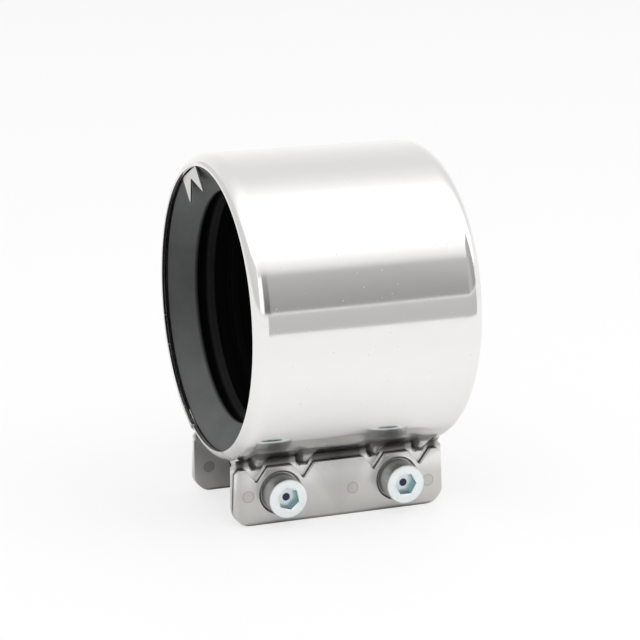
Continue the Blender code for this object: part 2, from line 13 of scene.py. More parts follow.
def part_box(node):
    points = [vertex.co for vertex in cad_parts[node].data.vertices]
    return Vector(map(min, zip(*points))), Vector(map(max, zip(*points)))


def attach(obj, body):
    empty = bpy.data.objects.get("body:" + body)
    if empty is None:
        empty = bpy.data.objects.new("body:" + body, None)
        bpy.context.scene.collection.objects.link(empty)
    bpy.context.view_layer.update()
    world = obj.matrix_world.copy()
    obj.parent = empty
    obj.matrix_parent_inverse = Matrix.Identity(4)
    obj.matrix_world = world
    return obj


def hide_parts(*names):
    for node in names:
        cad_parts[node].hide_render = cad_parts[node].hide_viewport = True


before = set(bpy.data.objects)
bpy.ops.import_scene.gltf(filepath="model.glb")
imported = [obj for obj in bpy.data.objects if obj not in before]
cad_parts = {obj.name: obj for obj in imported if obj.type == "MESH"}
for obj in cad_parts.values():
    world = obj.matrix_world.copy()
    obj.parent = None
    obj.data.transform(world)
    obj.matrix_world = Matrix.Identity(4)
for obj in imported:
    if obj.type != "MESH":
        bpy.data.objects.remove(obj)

bl_info = {
    "name": "No Hub Coupling",
    "version": (1, 0, 0),
    "blender": (4, 5, 0),
    "location": "3D View > Sidebar > Coupling",
    "description": "Models and finishes a stainless pipe coupling with a rubber sleeve",
    "category": "Object",
}

# The pipe's axis above the folds' feet, and the band's radius round it
AXIS_HEIGHT = 0.052183
SHELL_RADIUS = 0.0385

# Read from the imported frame
SCREW_LOW, SCREW_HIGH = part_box("screw_right")
SCREW_PLACE = (SCREW_LOW.x + SCREW_HIGH.x) / 2
SCREW_Z = (SCREW_LOW.z + SCREW_HIGH.z) / 2 - AXIS_HEIGHT
HEAD_RADIUS = (SCREW_HIGH.x - SCREW_LOW.x) / 2
HALF_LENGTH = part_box("band_shell")[1].x
SLEEVE_HALF_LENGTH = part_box("sealing_sleeve")[1].x
BRIDGE_HALF_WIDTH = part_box("gap_bridge_plate")[1].y

# Clearances and small roundings
PAST = 0.002
MERGE = 0.000005
FIT_GAP = 0.0003
ZERO = (0.0, 0.0, 0.0)

# Height of a screw's head, and from there to its thread
HEAD_HEIGHT = 0.0060
THREAD_START = 0.0015

# A nut: the radius of its faces as a share of half its width, the chamfer round its hole, and the air in it
NUT_FACE_SHARE = 0.97
NUT_SINK = 0.00045
NUT_PLAY = 0.00008

# Where painted shade darkens the strip, fading in over the first two values and out over the last two: over
# its bend, in metres past the bend's start and its end, and on a dart, in shares of the dart's length
BEND_SHADE = (0.0002, 0.0013, 0.0002, 0.0009)
DART_TOP_SHADE = (-0.06, 0.03, 0.20, 0.32)
DART_NOSE_SHADE = (0.56, 0.68, 0.86, 0.97)
DART_FLANK_SHADE = (0.0, 0.12, 0.84, 0.94)

# How strongly painted shade darkens a dart's top, the part below its nose and its flanks, and the foot of a
# fold
TOP_SHADE_STRENGTH = 0.9
NOSE_SHADE_STRENGTH = 0.6
FLANK_SHADE_STRENGTH = 0.8
FOOT_SHADE_STRENGTH = 0.7

# Between which shares of a dart's half width its flanks and its sides lie
DART_FLANK = (0.28, 0.50)
DART_SIDE = (0.95, 1.20)

# Where the painted shade fades: in from the ends of the lugs, and up from the foot of the fold
LUG_END_SHADE_FADE = (0.0020, 0.0008)
LUG_END_SHADE_LOSS = 0.7
FOOT_SHADE_HEIGHT = 0.0012

# Where the shell turns half satin on its way to the bend, in metres before the bend's start
OVER_BEND = (-0.0125, -0.0080)
OVER_BEND_SATIN = 0.5

# Where the spot welds lie on the front lug, as X and height, and how much more they burn its inner layer
WELD_SPOTS = ((-0.0242, 0.0078), (0.0035, 0.0069), (0.0241, 0.0065))
INSIDE_BURN = 3.4

# What is stored on a socket's faces: at half a face has the walls' colour, at one the cone's, below half less
SOCKET_FLOOR = 0.16
SOCKET_WALLS = 0.5
SOCKET_CONE = 1.0


def metres(name, description, default):
    """A length that a user can change."""
    return bpy.props.FloatProperty(
        name=name, description=description, default=default, min=0.0, unit="LENGTH", precision=5
    )


def colour(name, description, default):
    """A colour that a user can change."""
    return bpy.props.FloatVectorProperty(
        name=name, description=description, default=default, min=0.0, max=1.0, size=3, subtype="COLOR"
    )


def share(name, description, default):
    """A number from 0 to 1 that a user can change."""
    return bpy.props.FloatProperty(
        name=name, description=description, default=default, min=0.0, max=1.0, subtype="FACTOR"
    )


def angle(name, description, degrees):
    """An angle that a user can change."""
    return bpy.props.FloatProperty(
        name=name, description=description, default=radians(degrees), subtype="ANGLE"
    )


class CouplingBandSizes(bpy.types.PropertyGroup):
    """Sizes of the band and of its folded lugs."""

    sheet: metres("Sheet", "Thickness of the stainless strip", 0.0010)
    roll_width: metres("Roll width", "How far along the pipe each end of the shell rolls in", 0.0044)
    roll_depth: metres("Roll depth", "How far each end of the shell rolls in towards the axis", 0.0030)
    lug_face: metres("Lug face", "From the middle of the gap to the outside of a lug", 0.0166)
    lug_inset: metres("Lug inset", "How much shorter each end of a lug is than the shell", 0.00185)
    lug_corner: metres("Lug corner", "Radius of the lugs' lower corners", 0.0050)
    lip_round: metres("Lip rounding", "Rounding of the rolled lip's edge", 0.00044)
    ear_overhang: metres("Ear overhang", "How far a lug's inner layer stands past its folded layer", 0.0005)
    bend_radius: metres("Bend radius", "Radius of the corner between the shell and a lug", 0.0025)
    hem_gap: metres("Fold gap", "Air between a lug's two layers", 0.0004)
    hem_drop: metres("Fold drop", "How far below the bend the folded layer ends", 0.0004)
    hem_chamfer: metres("Fold chamfer", "Cut at the upper corners of the folded layer", 0.0011)
    rest_flat: metres("Rest flat", "Width of the flat that each fold stands on", 0.0012)
    cut_edge: metres("Cut edge", "Rounding of the strip's cut edges", 0.00012)
    neck_share: share("Neck share", "Part of the bend over which the neck widens to the lug", 1 / 3)


class CouplingDartSizes(bpy.types.PropertyGroup):
    """Sizes of the darts across the bends, of the notches and of the screws' dished seats."""

    spread: metres("Dart spread", "From a screw to the dart on either side of it", 0.00615)
    run: metres("Dart run", "How far up the shell a dart starts", 0.0050)
    drop: metres("Dart drop", "How far below the bend a dart ends", 0.0013)
    nose_out: metres("Nose out", "How far a dart's nose stands out of the lug", 0.0021)
    nose_drop: metres("Nose drop", "How far a dart's nose lies below the bend", 0.0003)
    top_half: metres("Top half width", "Half of a dart's width on the shell", 0.0028)
    toe_half: metres("Toe half width", "Half of a dart's width on the lug", 0.0015)
    roundness: share("Roundness", "How round a dart is from side to side", 0.75)
    notch_half: metres("Notch half width", "Half of a notch's width at its open side", 0.0027)
    notch_depth: metres("Notch depth", "From a notch's open side to its tip", 0.0037)
    notch_round: metres("Notch radius", "Radius of a notch's tip", 0.0006)
    dish_floor: metres("Dish floor", "Radius of the flat that a screw's head sits on", 0.0052)
    dish_slope: metres("Dish slope", "Width of the slope round that flat", 0.0005)
    dish_depth: metres("Dish depth", "How deep a screw's seat is pressed", 0.0006)
    bolt_hole: metres("Bolt hole", "Radius of the hole for a screw", 0.0033)
    weld_radius: metres("Weld radius", "Radius of the marks that the spot welds leave", 0.0015)


class CouplingLiningSizes(bpy.types.PropertyGroup):
    """Sizes of the bridge plate, the rubber sleeve and the contact strip."""

    bridge_sheet: metres("Bridge sheet", "Thickness of the plate under the gap", 0.0008)
    bridge_rise: metres("Bridge rise", "How far the plate rises between the lugs", 0.0009)
    sleeve_wall: metres("Sleeve wall", "Thickness of the sleeve between its ribs", 0.0062)
    nose_step: metres("Nose step", "How far the sleeve's ends stand in from its outside", 0.0014)
    lead_in: metres("Lead in", "Length of the cone at each end of the sleeve", 0.0056)
    lip_height: metres("Lip height", "How far the sealing lip stands into the bore", 0.0018)
    lip_width: metres("Lip width", "Width of the sealing lip's crest", 0.0009)
    rib_height: metres("Rib height", "How far a sealing rib stands into the bore", 0.0014)
    rib_width: metres("Rib width", "Width of a sealing rib's crest", 0.0017)
    rib_flank: metres("Rib flank", "Width of a sealing rib's slopes", 0.0007)
    first_rib: metres("First rib", "From the sealing lip to the first rib", 0.0047)
    # Painted shade: the first rib takes this share of the bore's painted shade, so its crest stays a little
    # lighter
    rib_dark: share("Rib dark", "How nearly the first rib is as dark as the bore", 0.84)
    second_rib: metres("Second rib", "From the sealing lip to the second rib", 0.0113)
    stop_height: metres("Stop height", "How far the middle stop stands into the bore", 0.0040)
    stop_width: metres("Stop width", "Width of the middle stop", 0.0025)
    strip_sheet: metres("Strip sheet", "Thickness of the contact strip", 0.0005)
    strip_width: metres("Strip width", "Width of the contact strip", 0.0114)
    tooth_reach: metres("Tooth reach", "From the band to the contact strip's points", 0.00865)
    tooth_notch: metres("Tooth notch", "Depth of the cut between the two teeth", 0.0050)
    tooth_blunt: metres("Tooth blunt", "Width left at each tooth's point", 0.00015)
    leg_lean: metres("Leg lean", "How far the teeth lean in over the sleeve's end", 0.0010)
    strip_angle: angle("Strip angle", "Where the contact strip lies, from the top towards the rear", 24.7)


class CouplingScrewSizes(bpy.types.PropertyGroup):
    """Sizes of the screws and nuts."""

    head_edge: metres("Head edge", "Rounding of a screw head's front edge", 0.0005)
    socket: metres("Socket", "Width of the hexagon socket across its flats", 0.0050)
    socket_depth: metres("Socket depth", "Depth of the hexagon socket", 0.0020)
    socket_lead: metres("Socket lead", "Width of the chamfer round the socket", 0.00012)
    socket_drill: metres("Socket drill", "Radius of the drilled cone under the socket", 0.0010)
    thread_radius: metres("Thread radius", "Radius over the thread's crests", 0.0030)
    thread_pitch: metres("Thread pitch", "From one turn of the thread to the next", 0.0010)
    thread_depth: metres("Thread depth", "From the thread's crest to its root", 0.00058)
    nut_across: metres("Nut", "Width of a nut across its flats", 0.0100)
    left_turn: angle("Left turn", "How far the left screw is turned", 12.0)
    right_turn: angle("Right turn", "How far the right screw is turned", 30.0)


class CouplingFinishes(bpy.types.PropertyGroup):
    """Colours and finishes."""

    polished: colour("Polished steel", "Colour of the band's outside", (0.865, 0.855, 0.84))
    satin: colour("Satin steel", "Colour of the lugs and of the band's inside", (0.65, 0.64, 0.62))
    mottle: colour("Mottle", "Colour of the steel's duller patches", (0.50, 0.49, 0.47))
    plate: colour("Plain plate", "Colour of the bridge plate and of the contact strip", (0.66, 0.65, 0.63))
    zinc: colour("Zinc plating", "Colour of the screws and nuts", (0.87, 0.90, 0.905))
    head_side: colour("Head side", "Colour of the turned sides of the screws' heads", (0.45, 0.46, 0.46))
    socket: colour("Socket", "Colour of the passivated socket walls", (0.30, 0.46, 0.49))
    # Partly the blue of the passivation and partly painted shade: the drilled cone deep in the socket is
    # painted nearly black
    drill: colour("Drilled cone", "Colour of the cone under the socket", (0.045, 0.050, 0.085))
    rubber: colour("Rubber", "Colour of the sleeve's ends", (0.070, 0.071, 0.072))
    # Painted shade: the bore is the same rubber as the ends, painted nearly black for the shade inside the
    # sleeve
    bore: colour("Bore", "Colour of the sleeve's bore", (0.0004, 0.0005, 0.0007))
    weld: colour("Weld mark", "Colour that the spot welds leave", (0.34, 0.28, 0.25))
    # Painted shade: the crease over the lugs, the darts and the foot of each fold are darkened towards this
    # colour, by this much
    crease: colour("Crease", "Colour of the painted shade in the crease over the lugs", (0.045, 0.043, 0.038))
    crease_shade_strength: share("Crease dark", "How strongly the crease is coloured", 0.85)
    polish: share("Polish roughness", "Roughness of the band's outside", 0.10)
    brush: share("Satin roughness", "Roughness of the lugs", 0.34)


class CouplingStage(bpy.types.PropertyGroup):
    """The camera, the floor and the light round the coupling."""

    eye: bpy.props.FloatVectorProperty(
        name="Camera",
        description="Where the camera stands",
        default=(-0.20454, -0.53165, 0.19012),
        subtype="XYZ",
    )
    yaw: angle("Yaw", "How far the camera is turned to the right", 21.16)
    pitch: angle("Pitch", "How far the camera looks down", 14.13)
    roll: angle("Roll", "How far the camera is rolled", -0.12)
    lens: bpy.props.FloatProperty(
        name="Lens", description="Focal length on a sensor 36 mm wide", default=130.8, unit="CAMERA"
    )
    floor: colour("Floor", "Colour of the floor", (0.94, 0.94, 0.94))
    floor_white: share("Floor white", "How much of the floor is plain white to the camera", 0.7)
    world_light: share("World light", "Strength of the light from all round", 0.80)
    overhead: bpy.props.FloatProperty(
        name="Overhead light", description="Brightness of the large light above", default=1.5, min=0.0
    )


SETTINGS = {
    "coupling_band": CouplingBandSizes,
    "coupling_darts": CouplingDartSizes,
    "coupling_lining": CouplingLiningSizes,
    "coupling_screws": CouplingScrewSizes,
    "coupling_finishes": CouplingFinishes,
    "coupling_stage": CouplingStage,
}


def settings(name):
    """One of the groups of settings, kept on the scene."""
    return getattr(bpy.context.scene, "coupling_" + name)


def mesh_object(name, shape):
    """A new object in the scene, made from a bmesh."""
    data = bpy.data.meshes.new(name)
    shape.to_mesh(data)
    shape.free()
    made = bpy.data.objects.new(name, data)
    bpy.context.scene.collection.objects.link(made)
    return made


def cutter(name, shape):
    """A shape for a Boolean to use, its faces pointing out."""
    bmesh.ops.recalc_face_normals(shape, faces=shape.faces)
    return mesh_object(name, shape)


def apply_modifiers(piece):
    """Puts what the modifiers make into the piece's own mesh."""
    graph = bpy.context.evaluated_depsgraph_get()
    old = piece.data
    piece.data = bpy.data.meshes.new_from_object(piece.evaluated_get(graph))
    piece.modifiers.clear()
    bpy.data.meshes.remove(old)


def combine(piece, other, operation):
    """Cuts another shape from a piece, or joins it on, and removes the other shape."""
    change = piece.modifiers.new(other.name, "BOOLEAN")
    change.operation = operation
    change.object = other
    change.solver = "EXACT"
    apply_modifiers(piece)
    bpy.data.objects.remove(other, do_unlink=True)


def round_edges(piece, width, segments, angle=50.0):
    """Rounds the edges that are sharper than an angle."""
    change = piece.modifiers.new("edges", "BEVEL")
    change.width = width
    change.segments = segments
    change.limit_method = "ANGLE"
    change.angle_limit = radians(angle)
    change.use_clamp_overlap = False
    change.loop_slide = False
    apply_modifiers(piece)


def thicken(piece, sheet, offset):
    """Gives an open surface the thickness of its sheet."""
    change = piece.modifiers.new("sheet", "SOLIDIFY")
    change.thickness = sheet
    change.offset = offset
    change.use_even_offset = True
    change.use_quality_normals = True
    apply_modifiers(piece)


def finish_piece(piece, material, body, slot, *nodes, sharp=35.0):
    """Puts the piece in place on the frame, shaded and in its material."""
    piece.data.transform(piece.matrix_world)
    piece.matrix_world = Matrix.Identity(4)
    piece.data.materials.clear()
    piece.data.materials.append(material)
    piece.data.shade_smooth()
    piece.data.set_sharp_from_angle(angle=radians(sharp))
    piece.modifiers.new("shading", "WEIGHTED_NORMAL").keep_sharp = True
    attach(piece, body)
    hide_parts(*nodes)


def arc(centre_a, centre_b, radius, start, end, steps):
    """Points on an arc in a plane."""
    turns = [start + (end - start) * step / steps for step in range(steps + 1)]
    return [(centre_a + radius * cos(turn), centre_b + radius * sin(turn)) for turn in turns]


def rounded(corners, steps=4):
    """An outline through corners (a, b, radius), each corner rounded to its radius."""
    outline = []
    for index, (a, b, radius) in enumerate(corners):
        here = Vector((a, b))
        if radius <= 0.0:
            outline.append(tuple(here))
            continue
        before = Vector(corners[index - 1][:2]) - here
        after = Vector(corners[(index + 1) % len(corners)][:2]) - here
        half = before.angle(after) / 2
        reach = min(radius / tan(half), before.length * 0.49, after.length * 0.49)
        start = here + before.normalized() * reach
        end = here + after.normalized() * reach
        for step in range(steps + 1):
            along = step / steps
            point = (1 - along) ** 2 * start + 2 * along * (1 - along) * here + along**2 * end
            outline.append(tuple(point))
    return outline


def lathe(shape, outline, steps, closed=True):
    """Turns an outline of (x, radius) points right round the pipe's axis."""
    verts = [shape.verts.new((x, 0.0, radius)) for x, radius in outline]
    pairs = list(zip(verts, verts[1:])) + ([(verts[-1], verts[0])] if closed else [])
    edges = [shape.edges.new(pair) for pair in pairs]
    bmesh.ops.spin(
        shape,
        geom=verts + edges,
        cent=ZERO,
        axis=(1.0, 0.0, 0.0),
        angle=2 * pi,
        steps=steps,
        use_merge=True,
        use_duplicate=False,
    )


def swept_plate(outline, half_angle, steps):
    """A solid swept from an (x, radius) outline about the pipe's axis, to either side of straight down."""
    shape = bmesh.new()
    verts = [shape.verts.new((x, 0.0, radius)) for x, radius in outline]
    face = shape.faces.new(verts)
    bmesh.ops.rotate(shape, verts=verts, cent=ZERO, matrix=Matrix.Rotation(pi - half_angle, 3, "X"))
    bmesh.ops.spin(
        shape,
        geom=verts + list(face.edges) + [face],
        cent=ZERO,
        axis=(1.0, 0.0, 0.0),
        angle=2 * half_angle,
        steps=steps,
        use_duplicate=False,
    )
    return shape


def point_outwards(shape):
    """Makes an open surface's faces point away from the pipe's axis."""
    bmesh.ops.recalc_face_normals(shape, faces=shape.faces)
    crown = max(shape.faces, key=lambda face: face.calc_center_median().z)
    if crown.normal.z < 0:
        bmesh.ops.reverse_faces(shape, faces=shape.faces)


def prism(shape, outline, low_y, high_y):
    """Adds an (x, z) outline, raised along Y."""
    face = shape.faces.new([shape.verts.new((x, low_y, z)) for x, z in outline])
    raised = bmesh.ops.extrude_face_region(shape, geom=[face])["geom"]
    verts = [part for part in raised if isinstance(part, bmesh.types.BMVert)]
    bmesh.ops.translate(shape, verts=verts, vec=(0.0, high_y - low_y, 0.0))


def box(shape, low, high):
    """Adds a box between two corners."""
    size = Vector(high) - Vector(low)
    middle = (Vector(high) + Vector(low)) / 2
    place = Matrix.Translation(middle) @ Matrix.Diagonal((*size, 1.0))
    bmesh.ops.create_cube(shape, size=1.0, matrix=place)


def row_edges(shape, verts):
    """The edges along a row of points."""
    row = set(verts)
    return [edge for edge in shape.edges if set(edge.verts) <= row]


def spin_row(shape, verts, centre_y, centre_z, angle, steps):
    """Sweeps a row of points about a line along X, and gives the last row."""
    swept = bmesh.ops.spin(
        shape,
        geom=list(verts) + row_edges(shape, verts),
        cent=(0.0, centre_y, centre_z),
        axis=(1.0, 0.0, 0.0),
        angle=angle,
        steps=steps,
        use_duplicate=False,
    )
    return [part for part in swept["geom_last"] if isinstance(part, bmesh.types.BMVert)]


def push_row(shape, verts, vec):
    """Extends a row of points along a straight line, and gives the last row."""
    pushed = bmesh.ops.extrude_edge_only(shape, edges=row_edges(shape, verts))["geom"]
    last = [part for part in pushed if isinstance(part, bmesh.types.BMVert)]
    bmesh.ops.translate(shape, verts=last, vec=vec)
    return last


def thin_row(shape, verts, kept):
    """Drops the points of a row that aren't at one of the kept places along X."""
    extra = [vert for vert in verts if all(abs(vert.co.x - x) > MERGE for x in kept)]
    rest = [vert for vert in verts if vert not in extra]
    bmesh.ops.dissolve_verts(shape, verts=extra)
    return rest


class BandForm:
    """The places on the band that follow from its sizes, about the pipe's axis."""

    shell_steps = 64
    roll_steps = 15
    neck_step = 5
    dart_columns = 24
    dart_rows = 12
    drop_rows = 6
    bend_steps = 16
    fold_steps = 14
    tip_steps = 6
    overhang_steps = 2
    corner_steps = 20
    overhang = radians(5.0)

    def __init__(self):
        band, darts = settings("band"), settings("darts")
        self.band = band
        self.darts = darts
        self.flat_half = HALF_LENGTH - band.roll_width
        self.neck_half = self.flat_half + band.roll_width * sin(pi / 2 * self.neck_step / self.roll_steps)
        self.ear_face = band.lug_face - band.sheet - band.hem_gap
        self.gap_face = self.ear_face - band.sheet
        self.bend_y = self.ear_face + band.bend_radius
        reach = SHELL_RADIUS + band.bend_radius
        self.bend_z = -sqrt(reach**2 - self.bend_y**2)
        self.bend_angle = asin(self.bend_y / reach)
        self.bend_turn = pi / 2 - self.bend_angle
        self.hem_top = self.bend_z - band.hem_drop
        self.fold_inside = band.hem_gap / 2
        outside = self.fold_inside + band.sheet
        self.fold_z = sqrt(outside**2 - (band.rest_flat / 2) ** 2) - AXIS_HEIGHT
        self.lug_half = HALF_LENGTH - band.lug_inset
        self.ear_half = self.lug_half + band.ear_overhang
        self.dart_places = (SCREW_PLACE - darts.spread, SCREW_PLACE + darts.spread)
        self.bend_length = band.bend_radius * self.bend_turn
        self.liner_radius = SHELL_RADIUS - band.sheet - FIT_GAP
        self.liner_roll_width = band.roll_width - band.sheet - FIT_GAP
        self.liner_roll_depth = band.roll_depth - band.sheet - FIT_GAP
        self.leg_x = HALF_LENGTH - band.sheet - FIT_GAP

    def shell_section(self, x):
        """The (x, radius) point of the shell's outside at this distance along it."""
        past_flat = max(0.0, x - self.flat_half) / self.band.roll_width
        return x, SHELL_RADIUS - self.band.roll_depth * (1 - sqrt(max(0.0, 1 - past_flat**2)))

    def length_at(self, y, z):
        """How far along the strip a point of the front half lies past the start of its bend."""
        from_bottom = atan2(-y, -z)
        if from_bottom > self.bend_angle - MERGE:
            return (self.bend_angle - from_bottom) * SHELL_RADIUS
        if z > self.bend_z:
            return self.band.bend_radius * (self.bend_turn - atan2(z - self.bend_z, y + self.bend_y))
        return self.bend_length + self.bend_z - z

    def point_at(self, length):
        """The (y, z) point of the strip's outside at this length past the start of its bend."""
        if length < 0.0:
            from_bottom = self.bend_angle - length / SHELL_RADIUS
            return Vector((-SHELL_RADIUS * sin(from_bottom), -SHELL_RADIUS * cos(from_bottom)))
        if length < self.bend_length:
            turn = self.bend_turn - length / self.band.bend_radius
            radius = self.band.bend_radius
            return Vector((radius * cos(turn) - self.bend_y, radius * sin(turn) + self.bend_z))
        return Vector((-self.ear_face, self.bend_z + self.bend_length - length))

    def dart_share(self, length):
        """How far along a dart this length lies, from 0 at its top to 1 at its toe."""
        toe = self.bend_length + self.darts.drop
        return (length + self.darts.run) / (toe + self.darts.run)

    def off_dart(self, x):
        """How far a place along the pipe lies from the middle of the nearest dart."""
        return min(abs(abs(x) - place) for place in self.dart_places)

    def dart_shift(self, x, length):
        """How far the darts move the sheet out of its corner, along Y and Z."""
        darts = self.darts
        along = self.dart_share(length)
        half = darts.top_half + (darts.toe_half - darts.top_half) * along
        across = self.off_dart(x) / half
        if not 0.0 < along < 1.0 or across > 1.0:
            return Vector((0.0, 0.0))
        toe = self.bend_length + darts.drop
        nose = Vector((-self.ear_face - darts.nose_out, self.bend_z - darts.nose_drop))
        ridge = (1 - along) ** 2 * self.point_at(-darts.run)
        ridge += 2 * along * (1 - along) * nose + along**2 * self.point_at(toe)
        return (ridge - self.point_at(length)) * (1 - across**2) ** darts.roundness

    def hem_outline(self):
        """The (x, z) outline of the folded layer above its fold, with its notches, from its free side."""
        darts, band = self.darts, self.band
        slope = darts.notch_half / darts.notch_depth
        lean = hypot(1.0, slope)
        round_z = self.hem_top - darts.notch_depth + darts.notch_round
        tangent_z = round_z - darts.notch_round * slope / lean
        top_x = darts.notch_round / lean + (self.hem_top - tangent_z) * slope
        start = asin(slope / lean)
        corner = self.lug_half - band.hem_chamfer
        outline = [(self.lug_half, self.hem_top - band.hem_chamfer), (corner, self.hem_top)]
        for place in sorted(self.dart_places, reverse=True):
            tip = arc(place, round_z, darts.notch_round, 2 * pi - start, pi + start, self.tip_steps)
            outline += [(place + top_x, self.hem_top)] + tip + [(place - top_x, self.hem_top)]
        return outline + [(-PAST, self.hem_top)]


def band_surface(form):
    """The outside of a quarter of the strip: shell, a rolled edge, and half of a folded lug."""
    band, darts = form.band, form.darts
    shape = bmesh.new()
    turns = [pi / 2 * step / form.roll_steps for step in range(form.roll_steps + 1)]
    kept = [-PAST] + [form.flat_half + band.roll_width * sin(turn) for turn in turns]
    steps = [2 * step / form.dart_columns - 1 for step in range(form.dart_columns + 1)]
    columns = [place + darts.top_half * step for place in form.dart_places for step in steps]
    section = [form.shell_section(x) for x in sorted(kept + columns)]
    row = [shape.verts.new((x, 0.0, radius)) for x, radius in section]
    for first, second in zip(row, row[1:]):
        shape.edges.new((first, second))
    run_angle = darts.run / SHELL_RADIUS
    dart_start = pi - form.bend_angle - run_angle
    bmesh.ops.rotate(shape, verts=row, cent=ZERO, matrix=Matrix.Rotation(dart_start, 3, "X"))
    step = (dart_start + asin(PAST / SHELL_RADIUS)) / form.shell_steps
    upper = thin_row(shape, spin_row(shape, row, 0.0, 0.0, -step, 1), kept)
    spin_row(shape, upper, 0.0, 0.0, -step * (form.shell_steps - 1), form.shell_steps - 1)
    end = spin_row(shape, row, 0.0, 0.0, run_angle, form.dart_rows)

    rolled = [vert for vert in end if vert.co.x > form.neck_half + MERGE]
    ear = [vert for vert in end if vert.co.x < form.neck_half + MERGE]
    spin_row(shape, rolled, 0.0, 0.0, form.overhang, form.overhang_steps)
    before = set(shape.verts)
    ear = spin_row(shape, ear, -form.bend_y, form.bend_z, -form.bend_turn, form.bend_steps)
    for vert in set(shape.verts) - before:
        across = Vector((vert.co.y + form.bend_y, vert.co.z - form.bend_z)).normalized() * band.bend_radius
        vert.co.y = across.x - form.bend_y
        vert.co.z = across.y + form.bend_z
        widened = 1 - atan2(across.y, across.x) / form.bend_turn / band.neck_share
        if vert.co.x > form.neck_half - MERGE and widened > 0.0:
            vert.co.x += (form.ear_half - form.neck_half) * widened
    for _ in range(form.drop_rows):
        ear = push_row(shape, ear, (0.0, 0.0, -darts.drop / form.drop_rows))

    kept += [form.ear_half]
    ear = thin_row(shape, push_row(shape, ear, (0.0, 0.0, form.fold_z - form.bend_z + darts.drop)), kept)
    ear = spin_row(shape, ear, -form.ear_face - form.fold_inside, form.fold_z, -pi, form.fold_steps)
    ear.sort(key=lambda vert: vert.co.x)
    rim = [shape.verts.new((x, -form.ear_face - band.hem_gap, z)) for x, z in form.hem_outline()]
    shape.faces.new(ear + rim)
    point_outwards(shape)
    return shape


def corner_cutter(form):
    """Rounds the lug's lower corner and leaves a narrow flat under its fold."""
    shape = bmesh.new()
    radius = form.band.lug_corner
    inner_x = form.ear_half - radius
    inner_z = radius - AXIS_HEIGHT
    past_x = form.ear_half + PAST
    past_z = -AXIS_HEIGHT - PAST
    outline = [(-2 * PAST, -AXIS_HEIGHT)]
    outline += arc(inner_x, inner_z, radius, -pi / 2, 0.0, form.corner_steps)
    outline += [(past_x, inner_z), (past_x, past_z), (-2 * PAST, past_z)]
    prism(shape, outline, -form.band.lug_face - PAST, -form.gap_face + PAST)
    return cutter("lug_corner", shape)


def seat_turned(name, outline):
    """A shape turned from (depth, radius) points about a screw's axis, its depth measured along +Y."""
    shape = bmesh.new()
    lathe(shape, outline, 64, closed=False)
    bmesh.ops.remove_doubles(shape, verts=shape.verts, dist=MERGE)
    place = Matrix.Translation((SCREW_PLACE, 0.0, SCREW_Z)) @ Matrix.Rotation(pi / 2, 4, "Z")
    bmesh.ops.transform(shape, matrix=place, verts=shape.verts)
    return cutter(name, shape)


def press_seat(piece, form):
    """Presses a dished seat into the lug round the screw, onto the layer behind, and cuts the bolt hole."""
    band, darts = form.band, form.darts
    rim = darts.dish_floor + darts.dish_slope
    overlap = band.sheet * 0.3
    gap_low, gap_high = -form.ear_face - band.hem_gap - overlap, -form.ear_face + overlap
    pad = [(gap_low, 0.0), (gap_low, rim), (gap_high, rim), (gap_high, 0.0)]
    combine(piece, seat_turned("seat_pad", pad), "UNION")
    front = -band.lug_face
    seat = front + darts.dish_depth
    flare, lift, skim = 0.0015, 0.0003, 0.00002
    corners = [
        (front - PAST, 0.0, 0.0),
        (front - PAST, rim + flare, 0.0),
        (front - lift, rim + flare, 0.0),
        (front - skim, rim, darts.dish_slope * 0.25),
        (seat, darts.dish_floor, darts.dish_slope * 0.45),
        (seat, 0.0, 0.0),
    ]
    combine(piece, seat_turned("dished_seat", rounded(corners, 5)), "DIFFERENCE")
    back = PAST - form.gap_face
    hole = [(front - PAST, 0.0), (front - PAST, darts.bolt_hole), (back, darts.bolt_hole), (back, 0.0)]
    combine(piece, seat_turned("bolt_hole", hole), "DIFFERENCE")


def fade(value, low, high):
    """How far a value has gone from one limit to another, from 0 to 1."""
    along = min(1.0, max(0.0, (value - low) / (high - low)))
    return along * along * (3 - 2 * along)


def within(value, limits):
    """How far a value lies inside limits: it fades in over the first two and out over the last two."""
    return fade(value, limits[0], limits[1]) * (1 - fade(value, limits[2], limits[3]))


def crease_shade_at(form, x, z, length):
    """How much painted shade darkens the strip in the crease over a lug, on its darts and under its fold,
    where shade falls.
    """
    end = form.bend_length
    bend = within(length, BEND_SHADE[:2] + (end + BEND_SHADE[2], end + BEND_SHADE[3]))
    lug_end = fade(abs(x), form.ear_half - LUG_END_SHADE_FADE[0], form.ear_half - LUG_END_SHADE_FADE[1])
    bend *= 1 - LUG_END_SHADE_LOSS * lug_end
    along = form.dart_share(length)
    across = form.off_dart(x) / form.darts.top_half
    top = TOP_SHADE_STRENGTH * within(along, DART_TOP_SHADE)
    nose = NOSE_SHADE_STRENGTH * within(along, DART_NOSE_SHADE)
    flank = FLANK_SHADE_STRENGTH * within(along, DART_FLANK_SHADE) * fade(across, *DART_FLANK)
    on_dart = 1 - fade(across, *DART_SIDE)
    shade_and_patches = bend + (max(top, nose, flank) - bend) * on_dart
    # Painted shade at the foot of the fold, where it stands on the floor
    foot = FOOT_SHADE_STRENGTH * (1 - fade(z + AXIS_HEIGHT, 0.0, FOOT_SHADE_HEIGHT))
    return min(1.0, max(shade_and_patches, foot))


def satin_at(form, x, y, z, length, on_lug):
    """How satin the strip is: fully on the lugs and inside, partly near the bends, not on the lips."""
    half_sheet = form.band.sheet / 2
    below_bend = 0.4
    inside = min(SHELL_RADIUS, form.shell_section(abs(x))[1]) - half_sheet
    lip_start = HALF_LENGTH - form.band.sheet * 1.1
    if not on_lug and hypot(y, z) < inside and abs(x) < lip_start:
        return 1.0
    past = min(1.0, max(0.0, (length - form.bend_length) / form.darts.drop - below_bend))
    if past == 1.0:
        return 1.0
    return max(past if on_lug else 0.0, fade(length, *OVER_BEND) * OVER_BEND_SATIN)


